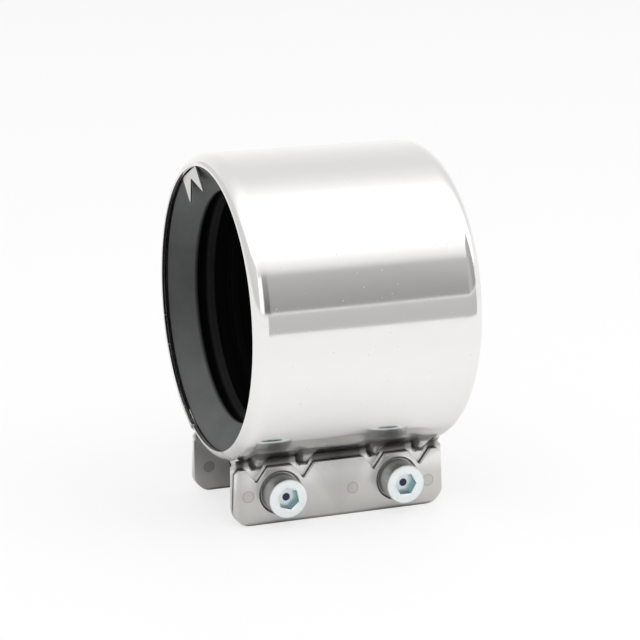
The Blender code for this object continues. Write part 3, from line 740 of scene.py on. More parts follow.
def mark_strip(piece, form):
    """Stores where each point lies on the strip, how satin it is, how much painted shade darkens it, and
    whether it is folded.
    """
    data = piece.data
    data.attributes.new("strip", "FLOAT_VECTOR", "POINT")
    for name in ("satin", "crease", "folded"):
        data.attributes.new(name, "FLOAT", "POINT")
    names = ("strip", "satin", "crease", "folded")
    place, satin, crease, folded = [data.attributes[name].data for name in names]
    folded_y = form.ear_face + form.band.hem_gap / 2
    for vert in data.vertices:
        x, y, z = vert.co
        length = form.length_at(-abs(y), z)
        on_lug = z < form.bend_z + form.band.bend_radius and abs(y) < form.bend_y
        side = -1.0 if y < 0 else 1.0
        place[vert.index].vector = (x, side * (length + pi * SHELL_RADIUS), 0.0)
        satin[vert.index].value = satin_at(form, x, y, z, length, on_lug)
        crease[vert.index].value = crease_shade_at(form, x, z, length)
        on_fold = on_lug and abs(y) > folded_y and z < form.hem_top + MERGE
        folded[vert.index].value = 1.0 if on_fold else 0.0


def round_lip(piece, form):
    """Rounds the edge that the rolled lip ends in."""
    shape = bmesh.new()
    shape.from_mesh(piece.data)
    rim = SHELL_RADIUS - form.band.roll_depth
    behind = HALF_LENGTH - form.band.sheet * 1.5

    def on_lip(vert):
        return vert.co.x > behind and abs(hypot(vert.co.y, vert.co.z) - rim) < FIT_GAP / 3

    corners = []
    for edge in shape.edges:
        first, second = edge.verts
        along = abs(first.co.x - second.co.x) < MERGE and on_lip(first) and on_lip(second)
        if along and edge.calc_face_angle(0.0) > radians(60.0):
            corners.append(edge)
    bmesh.ops.bevel(
        shape,
        geom=corners,
        offset=form.band.lip_round,
        offset_type="OFFSET",
        segments=4,
        profile=0.5,
        affect="EDGES",
        clamp_overlap=True,
        material=-1,
    )
    shape.to_mesh(piece.data)
    shape.free()


def make_band():
    """The band: one quarter is modelled and mirrored to the other end and to the other lug."""
    form = BandForm()
    piece = mesh_object("polished_band", band_surface(form))
    thicken(piece, form.band.sheet, -1.0)
    round_lip(piece, form)
    combine(piece, corner_cutter(form), "DIFFERENCE")
    round_edges(piece, form.band.cut_edge, 2)
    for vert in piece.data.vertices:
        shift = form.dart_shift(vert.co.x, form.length_at(vert.co.y, vert.co.z))
        vert.co.y += shift.x
        vert.co.z += shift.y
    press_seat(piece, form)
    mirror = piece.modifiers.new("other ends", "MIRROR")
    mirror.use_axis = (True, True, False)
    mirror.use_bisect_axis = (True, True, False)
    mirror.use_bisect_flip_axis = (False, True, False)
    mirror.merge_threshold = MERGE
    apply_modifiers(piece)
    mark_strip(piece, form)
    piece.location.z = AXIS_HEIGHT
    bpy.context.view_layer.update()
    finish_piece(piece, band_steel(), "coupling", "polished_band", "band_shell")


def liner_roll(form, radius, sheet, steps=12):
    """The outer and inner curves of a thin strip's rolled end, which lies behind the shell's own roll."""
    width, depth = form.liner_roll_width, form.liner_roll_depth
    turns = [pi / 2 * step / steps for step in range(steps + 1)]
    curves = []
    for inset in (0.0, sheet):
        along = [form.flat_half + (width - inset) * sin(turn) for turn in turns]
        out = [radius - depth + (depth - inset) * cos(turn) for turn in turns]
        curves.append(list(zip(along, out)))
    return curves


def raise_bridge(shape, form, rise):
    """Raises the plate into the gap between the lugs, and lengthens its rolled ends by as much there."""
    rim = form.liner_radius - form.liner_roll_depth
    clear = asin((form.gap_face - 2 * FIT_GAP) / form.liner_radius)
    ramp = radians(2.5)
    for vert in shape.verts:
        radius = hypot(vert.co.y, vert.co.z)
        inside = min(1.0, max(0.0, (clear - abs(atan2(vert.co.y, -vert.co.z))) / ramp))
        raised = rise * inside * (radius - rim) / (form.liner_radius - rim)
        vert.co.y *= (radius + raised) / radius
        vert.co.z *= (radius + raised) / radius
        past_flat = max(0.0, abs(vert.co.x) - form.flat_half) / form.liner_roll_width
        vert.co.x += copysign(rise * inside * past_flat, vert.co.x)


def make_bridge():
    """The plate that closes the band's gap from inside, rolled at its ends as the band is."""
    form = BandForm()
    lining = settings("lining")
    outer, inner = liner_roll(form, form.liner_radius, lining.bridge_sheet)
    outline = outer + inner[::-1] + [(-x, radius) for x, radius in inner + outer[::-1]]
    shape = swept_plate(outline, asin(BRIDGE_HALF_WIDTH / form.liner_radius), 48)
    raise_bridge(shape, form, lining.bridge_rise)
    bmesh.ops.recalc_face_normals(shape, faces=shape.faces)
    piece = mesh_object("bridge_plate", shape)
    round_edges(piece, lining.bridge_sheet * 0.15, 2, 60.0)
    piece.location.z = AXIS_HEIGHT
    bpy.context.view_layer.update()
    finish_piece(piece, plate_steel(), "coupling", "plain_plate", "gap_bridge_plate")


def rib_corners(middle, wall, lining):
    """A sealing rib's corners, from its end side to its middle side."""
    half = lining.rib_width / 2
    crest = wall - lining.rib_height
    foot_round, crest_round = 0.0003, 0.00035
    return [
        (middle + half + lining.rib_flank, wall, foot_round),
        (middle + half, crest, crest_round),
        (middle - half, crest, crest_round),
        (middle - half - lining.rib_flank, wall, foot_round),
    ]


def sleeve_corners(form, lining):
    """The (x, radius, rounding) corners of half the sleeve, from its outside round one end to its bore."""
    liner = form.liner_radius
    wall = liner - lining.sleeve_wall
    nose = liner - lining.nose_step
    lip = wall - lining.lip_height
    lip_x = SLEEVE_HALF_LENGTH - lining.lead_in
    flank = lining.rib_flank
    corners = [
        (form.flat_half, liner, 0.0002),
        (form.flat_half + flank, nose, 0.0003),
        (SLEEVE_HALF_LENGTH, nose, 0.0004),
        (lip_x, lip, 0.00025),
        (lip_x - lining.lip_width, lip, 0.0003),
        (lip_x - lining.lip_width - flank, wall, 0.0004),
    ]
    for pitch in (lining.first_rib, lining.second_rib):
        corners += rib_corners(lip_x - pitch, wall, lining)
    stop = lining.stop_width / 2
    return corners + [(stop, wall, 0.0004), (stop, wall - lining.stop_height, 0.0003)]


def strip_height(form, lining):
    """The height of the flat contact strip's outer face, where its edges just clear the shell."""
    return sqrt(form.liner_radius**2 - (lining.strip_width / 2) ** 2)


def strip_room(form, lining):
    """The cutters that make room for the contact strip: a groove in the sleeve and a notch at each end."""
    side = lining.strip_width / 2 + FIT_GAP
    past = form.liner_radius + PAST
    reach = form.flat_half + 2 * lining.rib_flank
    bottom = strip_height(form, lining) - lining.strip_sheet - FIT_GAP
    groove = bmesh.new()
    box(groove, (-reach, -side, bottom), (reach, side, past))
    face = form.leg_x - lining.strip_sheet - 2 * FIT_GAP
    end = SLEEVE_HALF_LENGTH + PAST
    low = form.liner_radius - lining.sleeve_wall - lining.lip_height
    notches = bmesh.new()
    box(notches, (face, -side, low), (end, side, past))
    box(notches, (-end, -side, low), (-face, side, past))
    cutters = []
    for name, shape in (("strip_groove", groove), ("strip_notches", notches)):
        bmesh.ops.transform(shape, matrix=Matrix.Rotation(-lining.strip_angle, 4, "X"), verts=shape.verts)
        cutters.append(cutter(name, shape))
    return cutters


def bridge_room(form, lining):
    """The cutter that makes room for the bridge plate."""
    reach = form.flat_half + 2 * lining.rib_flank
    bottom = form.liner_radius - lining.bridge_sheet - FIT_GAP
    past = form.liner_radius + PAST
    half_angle = asin(BRIDGE_HALF_WIDTH / form.liner_radius) + FIT_GAP / form.liner_radius
    outline = [(-reach, bottom), (reach, bottom), (reach, past), (-reach, past)]
    return cutter("bridge_relief", swept_plate(outline, half_angle, 40))


def make_sleeve():
    """The rubber sleeve, with room for the contact strip and for the bridge plate."""
    form = BandForm()
    lining = settings("lining")
    half = sleeve_corners(form, lining)
    other = [(-x, radius, rounding) for x, radius, rounding in reversed(half)]
    shape = bmesh.new()
    lathe(shape, rounded(half + other, 4), 160)
    bmesh.ops.recalc_face_normals(shape, faces=shape.faces)
    piece = mesh_object("rubber_sleeve", shape)
    for room in strip_room(form, lining) + [bridge_room(form, lining)]:
        combine(piece, room, "DIFFERENCE")
    mark_bore(piece, form, lining)
    piece.location.z = AXIS_HEIGHT
    bpy.context.view_layer.update()
    finish_piece(piece, sleeve_rubber(), "coupling", "sleeve_rubber", "sealing_sleeve", sharp=50.0)


def mark_bore(piece, form, lining):
    """Stores how far each point lies past the sealing lip, where painted shade makes the bore darker than the
    ends.
    """
    bore = piece.data.attributes.new("bore", "FLOAT", "POINT")
    lip_x = SLEEVE_HALF_LENGTH - lining.lead_in
    wall = form.liner_radius - lining.sleeve_wall
    rib_reach = lining.rib_width / 2 + lining.rib_flank
    for vert in piece.data.vertices:
        x, y, z = vert.co
        past = min(1.0, max(0.0, (lip_x - abs(x)) / lining.lip_width))
        # The first rib takes a little less of the bore's painted shade
        if abs(abs(x) - lip_x + lining.first_rib) < rib_reach and hypot(y, z) < wall - FIT_GAP:
            past = lining.rib_dark
        bore.data[vert.index].value = past


def make_contact_strip():
    """The contact strip, bent over both ends of the sleeve, with each end cut to two teeth."""
    form = BandForm()
    lining = settings("lining")
    top = strip_height(form, lining)
    tip = form.liner_radius - lining.tooth_reach
    outer, _ = liner_roll(form, top, lining.strip_sheet)
    right = outer + [(form.leg_x - lining.leg_lean, tip)]
    path = [(-x, z) for x, z in right[::-1]] + right
    side = lining.strip_width / 2
    shape = bmesh.new()
    row = [shape.verts.new((x, -side, z)) for x, z in path]
    for first, second in zip(row, row[1:]):
        shape.edges.new((first, second))
    push_row(shape, row, (0.0, lining.strip_width, 0.0))
    point_outwards(shape)
    piece = mesh_object("contact_strip_teeth", shape)
    thicken(piece, lining.strip_sheet, -1.0)
    teeth = bmesh.new()
    half = (side - lining.tooth_blunt) * (lining.tooth_notch + PAST) / lining.tooth_notch
    outline = [(-half, tip - PAST), (0.0, tip + lining.tooth_notch), (half, tip - PAST)]
    for end in (-1.0, 1.0):
        face = teeth.faces.new([teeth.verts.new((end * (form.leg_x + PAST), y, z)) for y, z in outline])
        raised = bmesh.ops.extrude_face_region(teeth, geom=[face])["geom"]
        verts = [part for part in raised if isinstance(part, bmesh.types.BMVert)]
        bmesh.ops.translate(teeth, verts=verts, vec=(-end * 3 * PAST, 0.0, 0.0))
    combine(piece, cutter("strip_teeth", teeth), "DIFFERENCE")
    round_edges(piece, lining.strip_sheet * 0.16, 2, 60.0)
    place = Matrix.Translation((0.0, 0.0, AXIS_HEIGHT)) @ Matrix.Rotation(-lining.strip_angle, 4, "X")
    piece.data.transform(place)
    finish_piece(piece, plate_steel(), "coupling", "plain_plate", "contact_strip")


def turned_piece(name, outline, steps):
    """A solid turned about Z from an open outline of (z, radius) points that begins and ends on it."""
    shape = bmesh.new()
    lathe(shape, outline, steps, closed=False)
    bmesh.ops.transform(shape, matrix=Matrix.Rotation(-pi / 2, 4, "Y"), verts=shape.verts)
    bmesh.ops.remove_doubles(shape, verts=shape.verts, dist=MERGE)
    bmesh.ops.recalc_face_normals(shape, faces=shape.faces)
    return mesh_object(name, shape)


def hexagon_cutter(name, across, low, high):
    """A hexagonal prism along Z."""
    shape = bmesh.new()
    corner = across / 2 / cos(pi / 6)
    bmesh.ops.create_cone(
        shape,
        cap_ends=True,
        segments=6,
        radius1=corner,
        radius2=corner,
        depth=high - low,
        matrix=Matrix.Translation((0.0, 0.0, (low + high) / 2)),
    )
    return cutter(name, shape)


def cut_thread(piece, sizes, low, high):
    """Cuts a helical thread into the turned shank between two heights."""
    crest, pitch = sizes.thread_radius, sizes.thread_pitch
    steepness, crest_flat = 1.25, 0.12
    for vert in piece.data.vertices:
        x, y, z = vert.co
        if not low < z < high or abs(hypot(x, y) - crest) > MERGE:
            continue
        turn = z / pitch - atan2(y, x) / (2 * pi)
        wave = abs(2 * (turn - floor(turn)) - 1)
        runout = min(1.0, (z - low) / pitch, (high - z) / pitch)
        depth = sizes.thread_depth * min(1.0, max(0.0, steepness * wave - crest_flat)) * runout
        vert.co.x *= (crest - depth) / crest
        vert.co.y *= (crest - depth) / crest


def screw_body(name, sizes, end_z):
    """The screw's turned head and threaded shank, its head upwards and its seat at the origin."""
    edge, crest = sizes.head_edge, sizes.thread_radius
    point = crest / 4
    fillet = 0.00015
    rows_each_turn = 8
    corners = [
        (HEAD_HEIGHT, 0.0, 0.0),
        (HEAD_HEIGHT, HEAD_RADIUS, edge),
        (0.0, HEAD_RADIUS, edge * 0.4),
        (0.0, crest + fillet, 0.0),
        (-fillet, crest, 0.0),
    ]
    rows = int((-end_z - point) / sizes.thread_pitch * rows_each_turn)
    shank = [((end_z + point) * row / rows, crest) for row in range(1, rows + 1)]
    outline = rounded(corners, 6) + shank + [(end_z, crest - point), (end_z, 0.0)]
    piece = turned_piece(name, outline, 64)
    cut_thread(piece, sizes, end_z + point / 2, -THREAD_START)
    return piece


def cut_socket(piece, sizes):
    """Cuts the hexagon socket, the chamfer round its mouth and the drilled cone under it."""
    top, lead, drill = HEAD_HEIGHT, sizes.socket_lead, sizes.socket_drill
    bottom = top - sizes.socket_depth
    combine(piece, hexagon_cutter("socket", sizes.socket, bottom, top + PAST), "DIFFERENCE")
    corner = sizes.socket / 2 / cos(pi / 6)
    inner, outer = corner - lead * 1.2, corner + lead * 1.2
    mouth = [(top - lead, 0.0), (top - lead, inner), (top + lead, outer), (top + lead, 0.0)]
    combine(piece, turned_piece("socket_lead", mouth, 48), "DIFFERENCE")
    cone = [(bottom + PAST, 0.0), (bottom + PAST, drill), (bottom, drill), (bottom - drill * 0.6, 0.0)]
    combine(piece, turned_piece("socket_drill", cone, 32), "DIFFERENCE")
    mark_socket(piece, corner)


def make_screw(node, name, turn):
    """A hex socket cap screw, its head towards -Y, turned from rounded corners, with a cut thread."""
    sizes = settings("screws")
    low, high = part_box(node)
    seat_y = low.y + HEAD_HEIGHT
    piece = screw_body(name, sizes, seat_y - high.y)
    cut_socket(piece, sizes)
    middle = (low + high) / 2
    place = Matrix.Translation((middle.x, seat_y, middle.z)) @ Matrix.Rotation(pi / 2, 4, "X")
    piece.data.transform(place @ Matrix.Rotation(turn, 4, "Z"))
    return piece


def socket_part(away, z, upright, corner):
    """What is stored for a face of the socket, or 0 outside it."""
    mouth, shallow = 0.00005, 0.0005
    level, wall = 0.01, 0.9
    if away >= corner or z <= 0.0:
        return 0.0
    if upright > level and z < HEAD_HEIGHT - mouth:
        return SOCKET_WALLS if upright > wall else SOCKET_CONE
    if upright <= level and z < HEAD_HEIGHT - shallow:
        return SOCKET_FLOOR
    return 0.0


def mark_socket(piece, corner):
    """Stores which faces are the socket's floor, walls and cone, and which are the duller turned sides."""
    data = piece.data
    data.attributes.new("socket", "FLOAT", "FACE")
    data.attributes.new("side", "FLOAT", "FACE")
    socket, side = data.attributes["socket"].data, data.attributes["side"].data
    for face in data.polygons:
        x, y, z = face.center
        away = hypot(x, y)
        upright = 1 - abs(face.normal.z)
        socket[face.index].value = socket_part(away, z, upright, corner)
        on_side = z < 0.0 or (away > corner and z < HEAD_HEIGHT)
        side[face.index].value = upright if on_side else 0.0


def make_nut(node, name):
    """A hex nut with chamfered corners, its hole countersunk at both faces."""
    sizes = settings("screws")
    low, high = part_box(node)
    half = (high.y - low.y) / 2
    flat = sizes.nut_across / 2
    face_radius = flat * NUT_FACE_SHARE
    hole = sizes.thread_radius + NUT_PLAY
    bulge = flat / cos(pi / 6) + PAST
    slope_end = half - (bulge - face_radius) * tan(radians(30.0))
    inner = [(half - NUT_SINK, hole), (half, hole + NUT_SINK)]
    outer = [(half, face_radius), (slope_end, bulge)]
    lower = [(-z, radius) for z, radius in reversed(inner + outer)]
    shape = bmesh.new()
    lathe(shape, outer + lower + inner, 96)
    bmesh.ops.transform(shape, matrix=Matrix.Rotation(-pi / 2, 4, "Y"), verts=shape.verts)
    bmesh.ops.recalc_face_normals(shape, faces=shape.faces)
    piece = mesh_object(name, shape)
    combine(piece, hexagon_cutter("nut_flats", sizes.nut_across, -half - PAST, half + PAST), "INTERSECT")
    round_edges(piece, 0.00008, 2, 28.0)
    middle = (low + high) / 2
    piece.data.transform(Matrix.Translation(middle) @ Matrix.Rotation(pi / 2, 4, "X"))
    return piece


def new_group(name, inputs, outputs):
    """A shader node group with its sockets, its input node and its output node."""
    group = bpy.data.node_groups.new(name, "ShaderNodeTree")
    for label, kind, default in inputs:
        socket = group.interface.new_socket(label, in_out="INPUT", socket_type=kind)
        socket.default_value = default
    for label, kind in outputs:
        group.interface.new_socket(label, in_out="OUTPUT", socket_type=kind)
    return group, group.nodes.new("NodeGroupInput"), group.nodes.new("NodeGroupOutput")


def add_node(tree, kind, inputs=None, **options):
    """Adds a node, sets its options, and links or sets its inputs."""
    made = tree.nodes.new(kind)
    for option, value in options.items():
        setattr(made, option, value)
    for key, value in (inputs or {}).items():
        if isinstance(value, bpy.types.NodeSocket):
            tree.links.new(value, made.inputs[key])
        else:
            made.inputs[key].default_value = value
    return made


def maths(tree, operation, first, second=0.0, clamp=False):
    """The output of a math node."""
    made = add_node(tree, "ShaderNodeMath", {0: first, 1: second}, operation=operation, use_clamp=clamp)
    return made.outputs[0]


def add_scaled(tree, start, value, factor, clamp=False):
    """A start with a value times a factor added to it."""
    return maths(tree, "ADD", start, maths(tree, "MULTIPLY", value, factor), clamp)


def map_range(tree, value, low, high, start=0.0, end=1.0, smooth=False):
    """The output of a node that moves a value from one range to another."""
    kind = "SMOOTHSTEP" if smooth else "LINEAR"
    sizes = {0: value, 1: low, 2: high, 3: start, 4: end}
    return add_node(tree, "ShaderNodeMapRange", sizes, interpolation_type=kind).outputs[0]


def noise(tree, vector, scale, detail, roughness=0.5):
    """The output of a noise texture."""
    sizes = {"Vector": vector, "Scale": scale, "Detail": detail, "Roughness": roughness}
    return add_node(tree, "ShaderNodeTexNoise", sizes).outputs["Fac"]


def stored(tree, name, output="Fac"):
    """What a piece's mesh stores under a name."""
    return add_node(tree, "ShaderNodeAttribute", attribute_name=name).outputs[output]


def object_place(tree):
    """Where a point lies on its object."""
    return add_node(tree, "ShaderNodeTexCoord").outputs["Object"]


def bumped(tree, height, strength, distance, normal=None):
    """The normal that a height makes, on top of another normal if there is one."""
    sizes = {"Height": height, "Strength": strength, "Distance": distance}
    if normal is not None:
        sizes["Normal"] = normal
    return add_node(tree, "ShaderNodeBump", sizes).outputs[0]


def mix_colour(tree, factor, first, second):
    """The output of a node that mixes two colours."""
    made = add_node(tree, "ShaderNodeMix", data_type="RGBA")
    for index, value in ((0, factor), (6, first), (7, second)):
        if isinstance(value, bpy.types.NodeSocket):
            tree.links.new(value, made.inputs[index])
        else:
            made.inputs[index].default_value = value
    return made.outputs[2]


def opaque(value):
    """A colour with its alpha."""
    return (value[0], value[1], value[2], 1.0)


def scaled_colour(value, *factors):
    """A colour with each of its channels times a factor, and its alpha."""
    return tuple(channel * factor for channel, factor in zip(value, factors)) + (1.0,)


def hairline_group():
    """Fine lines of a rolled or polished sheet, as a height and as a change of roughness."""
    name = "Hairlines"
    if name in bpy.data.node_groups:
        return bpy.data.node_groups[name]
    inputs = (
        ("Vector", "NodeSocketVector", ZERO),
        ("Across", "NodeSocketFloat", 4000.0),
        ("Along", "NodeSocketFloat", 40.0),
    )
    outputs = (("Lines", "NodeSocketFloat"), ("Patches", "NodeSocketFloat"))
    group, start, end = new_group(name, inputs, outputs)
    vector = start.outputs["Vector"]
    density = {0: start.outputs["Across"], 1: start.outputs["Along"], 2: 1.0}
    stretch = add_node(group, "ShaderNodeCombineXYZ", density).outputs[0]
    both = {0: vector, 1: stretch}
    scaled = add_node(group, "ShaderNodeVectorMath", both, operation="MULTIPLY").outputs[0]
    group.links.new(noise(group, scaled, 1.0, 3.0, 0.6), end.inputs["Lines"])
    group.links.new(noise(group, vector, 160.0, 4.0), end.inputs["Patches"])
    return group


def weld_group():
    """The round mark that a spot weld leaves: its tint and its dark ring."""
    name = "Weld Mark"
    if name in bpy.data.node_groups:
        return bpy.data.node_groups[name]
    inputs = (
        ("Vector", "NodeSocketVector", ZERO),
        ("Place", "NodeSocketVector", ZERO),
        ("Radius", "NodeSocketFloat", 0.0015),
    )
    outputs = (("Tint", "NodeSocketFloat"), ("Ring", "NodeSocketFloat"))
    group, start, end = new_group(name, inputs, outputs)
    raggedness, ring_reach, ring_width = 0.16, 1.02, 0.13
    tint_full, tint_end = 0.85, 1.12
    vector = start.outputs["Vector"]
    both = {0: vector, 1: start.outputs["Place"]}
    away = add_node(group, "ShaderNodeVectorMath", both, operation="DISTANCE").outputs["Value"]
    reach = maths(group, "DIVIDE", away, start.outputs["Radius"])
    ragged = add_scaled(group, reach, noise(group, vector, 2600.0, 3.0), raggedness)
    tint = map_range(group, ragged, tint_full, tint_end, 1.0, 0.0, smooth=True)
    off_ring = maths(group, "ABSOLUTE", maths(group, "SUBTRACT", ragged, ring_reach))
    ring = map_range(group, off_ring, 0.0, ring_width, 1.0, 0.0, smooth=True)
    group.links.new(tint, end.inputs["Tint"])
    group.links.new(ring, end.inputs["Ring"])
    return group


def add_group(tree, group, inputs):
    """Places a node group in a material, and links or sets its inputs."""
    made = tree.nodes.new("ShaderNodeGroup")
    made.node_tree = group
    for key, value in inputs.items():
        if isinstance(value, bpy.types.NodeSocket):
            tree.links.new(value, made.inputs[key])
        else:
            made.inputs[key].default_value = value
    return made


def new_material(name):
    """An empty material with one shader."""
    made = bpy.data.materials.new(name)
    made.use_nodes = True
    tree = made.node_tree
    return made, tree, tree.nodes["Principled BSDF"]


def weld_places():
    """The weld marks on both faces of the lugs, each with how strongly it is burnt."""
    form = BandForm()
    places = []
    for x, z in WELD_SPOTS:
        for y, burn in ((form.band.lug_face, 1.0), (form.gap_face, INSIDE_BURN)):
            places += [((x, -y, z), burn), ((-x, y, z), burn)]
    return places


def weld_marks(tree, place):
    """The tint and the rings of all the weld marks together."""
    radius = settings("darts").weld_radius
    tint, ring = 0.0, 0.0
    for spot, burn in weld_places():
        mark = add_group(tree, weld_group(), {"Vector": place, "Place": spot, "Radius": radius})
        tint = add_scaled(tree, tint, mark.outputs["Tint"], burn)
        ring = maths(tree, "ADD", mark.outputs["Ring"], ring)
    return tint, ring


def painted_fold_light(tree, place):
    """How much painted light brightens the folded layer towards its top, and how much painted shade darkens
    it along its top edge.
    """
    low, high, brightest = 0.0080, 0.0130, 0.9
    edge_depth, shade_depth, darkest_shade = 0.0003, 0.0001, 0.6
    folded = stored(tree, "folded")
    up = add_node(tree, "ShaderNodeSeparateXYZ", {0: place}).outputs["Z"]
    top = BandForm().hem_top + AXIS_HEIGHT
    lit = map_range(tree, up, low, high, 0.0, brightest, smooth=True)
    edge = map_range(tree, up, top - edge_depth, top - shade_depth, 0.0, darkest_shade)
    return maths(tree, "MULTIPLY", lit, folded), maths(tree, "MULTIPLY", edge, folded)


def band_steel():
    """Polished stainless steel that turns satin on the lugs, with spot weld marks, painted shade over the
    lugs and painted light on the folded layer.
    """
    polished_mottle, satin_mottle = 0.06, 0.20
    tint_strength, ring_strength = 0.18, 0.62
    patch_rough, mark_rough, speck_rough = 0.08, 0.1, 0.35
    finishes = settings("finishes")
    made, tree, shader = new_material("band_stainless")
    place = object_place(tree)
    strip = stored(tree, "strip", "Vector")
    lines = add_group(tree, hairline_group(), {"Vector": strip, "Across": 3600.0, "Along": 60.0})
    patches = lines.outputs["Patches"]
    satin = stored(tree, "satin")
    tint, ring = weld_marks(tree, place)
    lit, edge = painted_fold_light(tree, place)
    shade_and_patches = maths(tree, "MAXIMUM", stored(tree, "crease"), edge)

    colour_here = mix_colour(tree, satin, opaque(finishes.polished), opaque(finishes.satin))
    mottle = maths(tree, "MULTIPLY", patches, add_scaled(tree, polished_mottle, satin, satin_mottle))
    colour_here = mix_colour(tree, mottle, colour_here, opaque(finishes.mottle))
    # Painted light: the folded layer is brightened towards the polished colour near its top
    colour_here = mix_colour(tree, lit, colour_here, opaque(finishes.polished))
    faint = maths(tree, "MULTIPLY", tint, tint_strength)
    burnt = add_scaled(tree, faint, ring, ring_strength, clamp=True)
    colour_here = mix_colour(tree, burnt, colour_here, opaque(finishes.weld))
    # Painted shade: the crease, the darts, the foot of each fold and the folded layer's top edge are darkened
    painted_shade = maths(tree, "MULTIPLY", shade_and_patches, finishes.crease_shade_strength)
    colour_here = mix_colour(tree, painted_shade, colour_here, opaque(finishes.crease))
    tree.links.new(colour_here, shader.inputs["Base Color"])

    rough = add_scaled(tree, finishes.polish, satin, finishes.brush - finishes.polish)
    rough = add_scaled(tree, rough, maths(tree, "SUBTRACT", patches, 0.5), patch_rough)
    rough = add_scaled(tree, rough, maths(tree, "ADD", ring, shade_and_patches), mark_rough)
    cells = add_node(tree, "ShaderNodeTexVoronoi", {"Vector": place, "Scale": 420.0})
    specks = maths(tree, "LESS_THAN", cells.outputs["Distance"], 0.07)
    tree.links.new(add_scaled(tree, rough, specks, speck_rough), shader.inputs["Roughness"])
    shader.inputs["Metallic"].default_value = 1.0

    sway = noise(tree, place, 38.0, 0.0)
    gentle = maths(tree, "MULTIPLY", sway, maths(tree, "SUBTRACT", 1.0, satin))
    dents = bumped(tree, gentle, 1.0, 0.00008)
    hairlines = maths(tree, "MULTIPLY", lines.outputs["Lines"], 0.5)
    height = add_scaled(tree, hairlines, ring, -2.0)
    tree.links.new(bumped(tree, height, 0.25, 0.00001, dents), shader.inputs["Normal"])
    return made


def plate_steel():
    """Plain stainless sheet with fine rolling lines."""
    name = "plain_stainless"
    if name in bpy.data.materials:
        return bpy.data.materials[name]
    plate = settings("finishes").plate
    made, tree, shader = new_material(name)
    place = object_place(tree)
    lines = add_group(tree, hairline_group(), {"Vector": place, "Across": 60.0, "Along": 3600.0})
    patches = lines.outputs["Patches"]
    shade_and_patches = maths(tree, "MULTIPLY", patches, 0.3)
    sheet = mix_colour(tree, shade_and_patches, opaque(plate), scaled_colour(plate, 0.8, 0.8, 0.8))
    tree.links.new(sheet, shader.inputs["Base Color"])
    tree.links.new(add_scaled(tree, 0.22, patches, 0.12), shader.inputs["Roughness"])
    shader.inputs["Metallic"].default_value = 1.0
    tree.links.new(bumped(tree, lines.outputs["Lines"], 0.3, 0.00001), shader.inputs["Normal"])
    return made


def sleeve_rubber():
    """Moulded rubber: dull grey on the ends, lighter by painted light towards their top and bottom and by
    dust in uneven clouds, and black in the bore by painted shade.
    """
    most_painted_light, most_cloud = 0.70, 0.22
    finishes = settings("finishes")
    made, tree, shader = new_material("sleeve_rubber")
    place = object_place(tree)
    cloud = noise(tree, place, 90.0, 5.0, 0.6)
    dust_and_painted_light = scaled_colour(finishes.rubber, 2.4, 2.4, 2.4)
    up = add_node(tree, "ShaderNodeSeparateXYZ", {0: place}).outputs["Z"]
    away = maths(tree, "ABSOLUTE", maths(tree, "SUBTRACT", up, AXIS_HEIGHT))
    # Painted light: the ends are lighter away from the axis' height, towards their top and bottom
    painted_light_by_height = map_range(tree, away, 0.008, 0.034, 0.0, most_painted_light)
    uneven = map_range(tree, cloud, 0.35, 0.70, 0.0, most_cloud)
    amount = maths(tree, "ADD", painted_light_by_height, uneven, clamp=True)
    ends = mix_colour(tree, amount, opaque(finishes.rubber), dust_and_painted_light)
    # Painted shade: the bore is mixed towards a nearly black colour
    sleeve = mix_colour(tree, stored(tree, "bore"), ends, opaque(finishes.bore))
    tree.links.new(sleeve, shader.inputs["Base Color"])
    tree.links.new(add_scaled(tree, 0.56, cloud, 0.16), shader.inputs["Roughness"])
    shader.inputs["Specular IOR Level"].default_value = 0.07
    grain = noise(tree, place, 2400.0, 2.0)
    tree.links.new(bumped(tree, grain, 0.35, 0.00003), shader.inputs["Normal"])
    return made


def zinc_plating():
    """Bright zinc with a cool tint, fine pits, and a bluish passivated socket whose drilled cone is darkened
    by painted shade.
    """
    name = "bright_zinc"
    if name in bpy.data.materials:
        return bpy.data.materials[name]
    finishes = settings("finishes")
    made, tree, shader = new_material(name)
    place = object_place(tree)
    cloud = noise(tree, place, 420.0, 4.0, 0.55)
    cool = scaled_colour(finishes.zinc, 0.86, 0.91, 0.94)
    amount = map_range(tree, cloud, 0.4, 0.8, 0.0, 0.6)
    plated = mix_colour(tree, amount, opaque(finishes.zinc), cool)
    turned = mix_colour(tree, stored(tree, "side"), plated, opaque(finishes.head_side))
    socket = stored(tree, "socket")
    walls = maths(tree, "MULTIPLY", socket, 2.0, clamp=True)
    cone = maths(tree, "SUBTRACT", maths(tree, "MULTIPLY", socket, 2.0), 1.0, clamp=True)
    sunk = mix_colour(tree, walls, turned, opaque(finishes.socket))
    # Painted shade with the passivation's blue: the drilled cone is mixed towards a nearly black blue
    tree.links.new(mix_colour(tree, cone, sunk, opaque(finishes.drill)), shader.inputs["Base Color"])
    tree.links.new(add_scaled(tree, 0.26, cloud, 0.12), shader.inputs["Roughness"])
    shader.inputs["Metallic"].default_value = 1.0
    grain = noise(tree, place, 3600.0, 3.0)
    tree.links.new(bumped(tree, grain, 0.3, 0.000008), shader.inputs["Normal"])
    return made


def seen_background(tree):
    """Whether a ray comes from the camera, a gloss or a clear surface, and so sees the background."""
    light = add_node(tree, "ShaderNodeLightPath")
    seen = maths(tree, "MAXIMUM", light.outputs["Is Camera Ray"], light.outputs["Is Glossy Ray"])
    return maths(tree, "MAXIMUM", seen, light.outputs["Is Transmission Ray"])


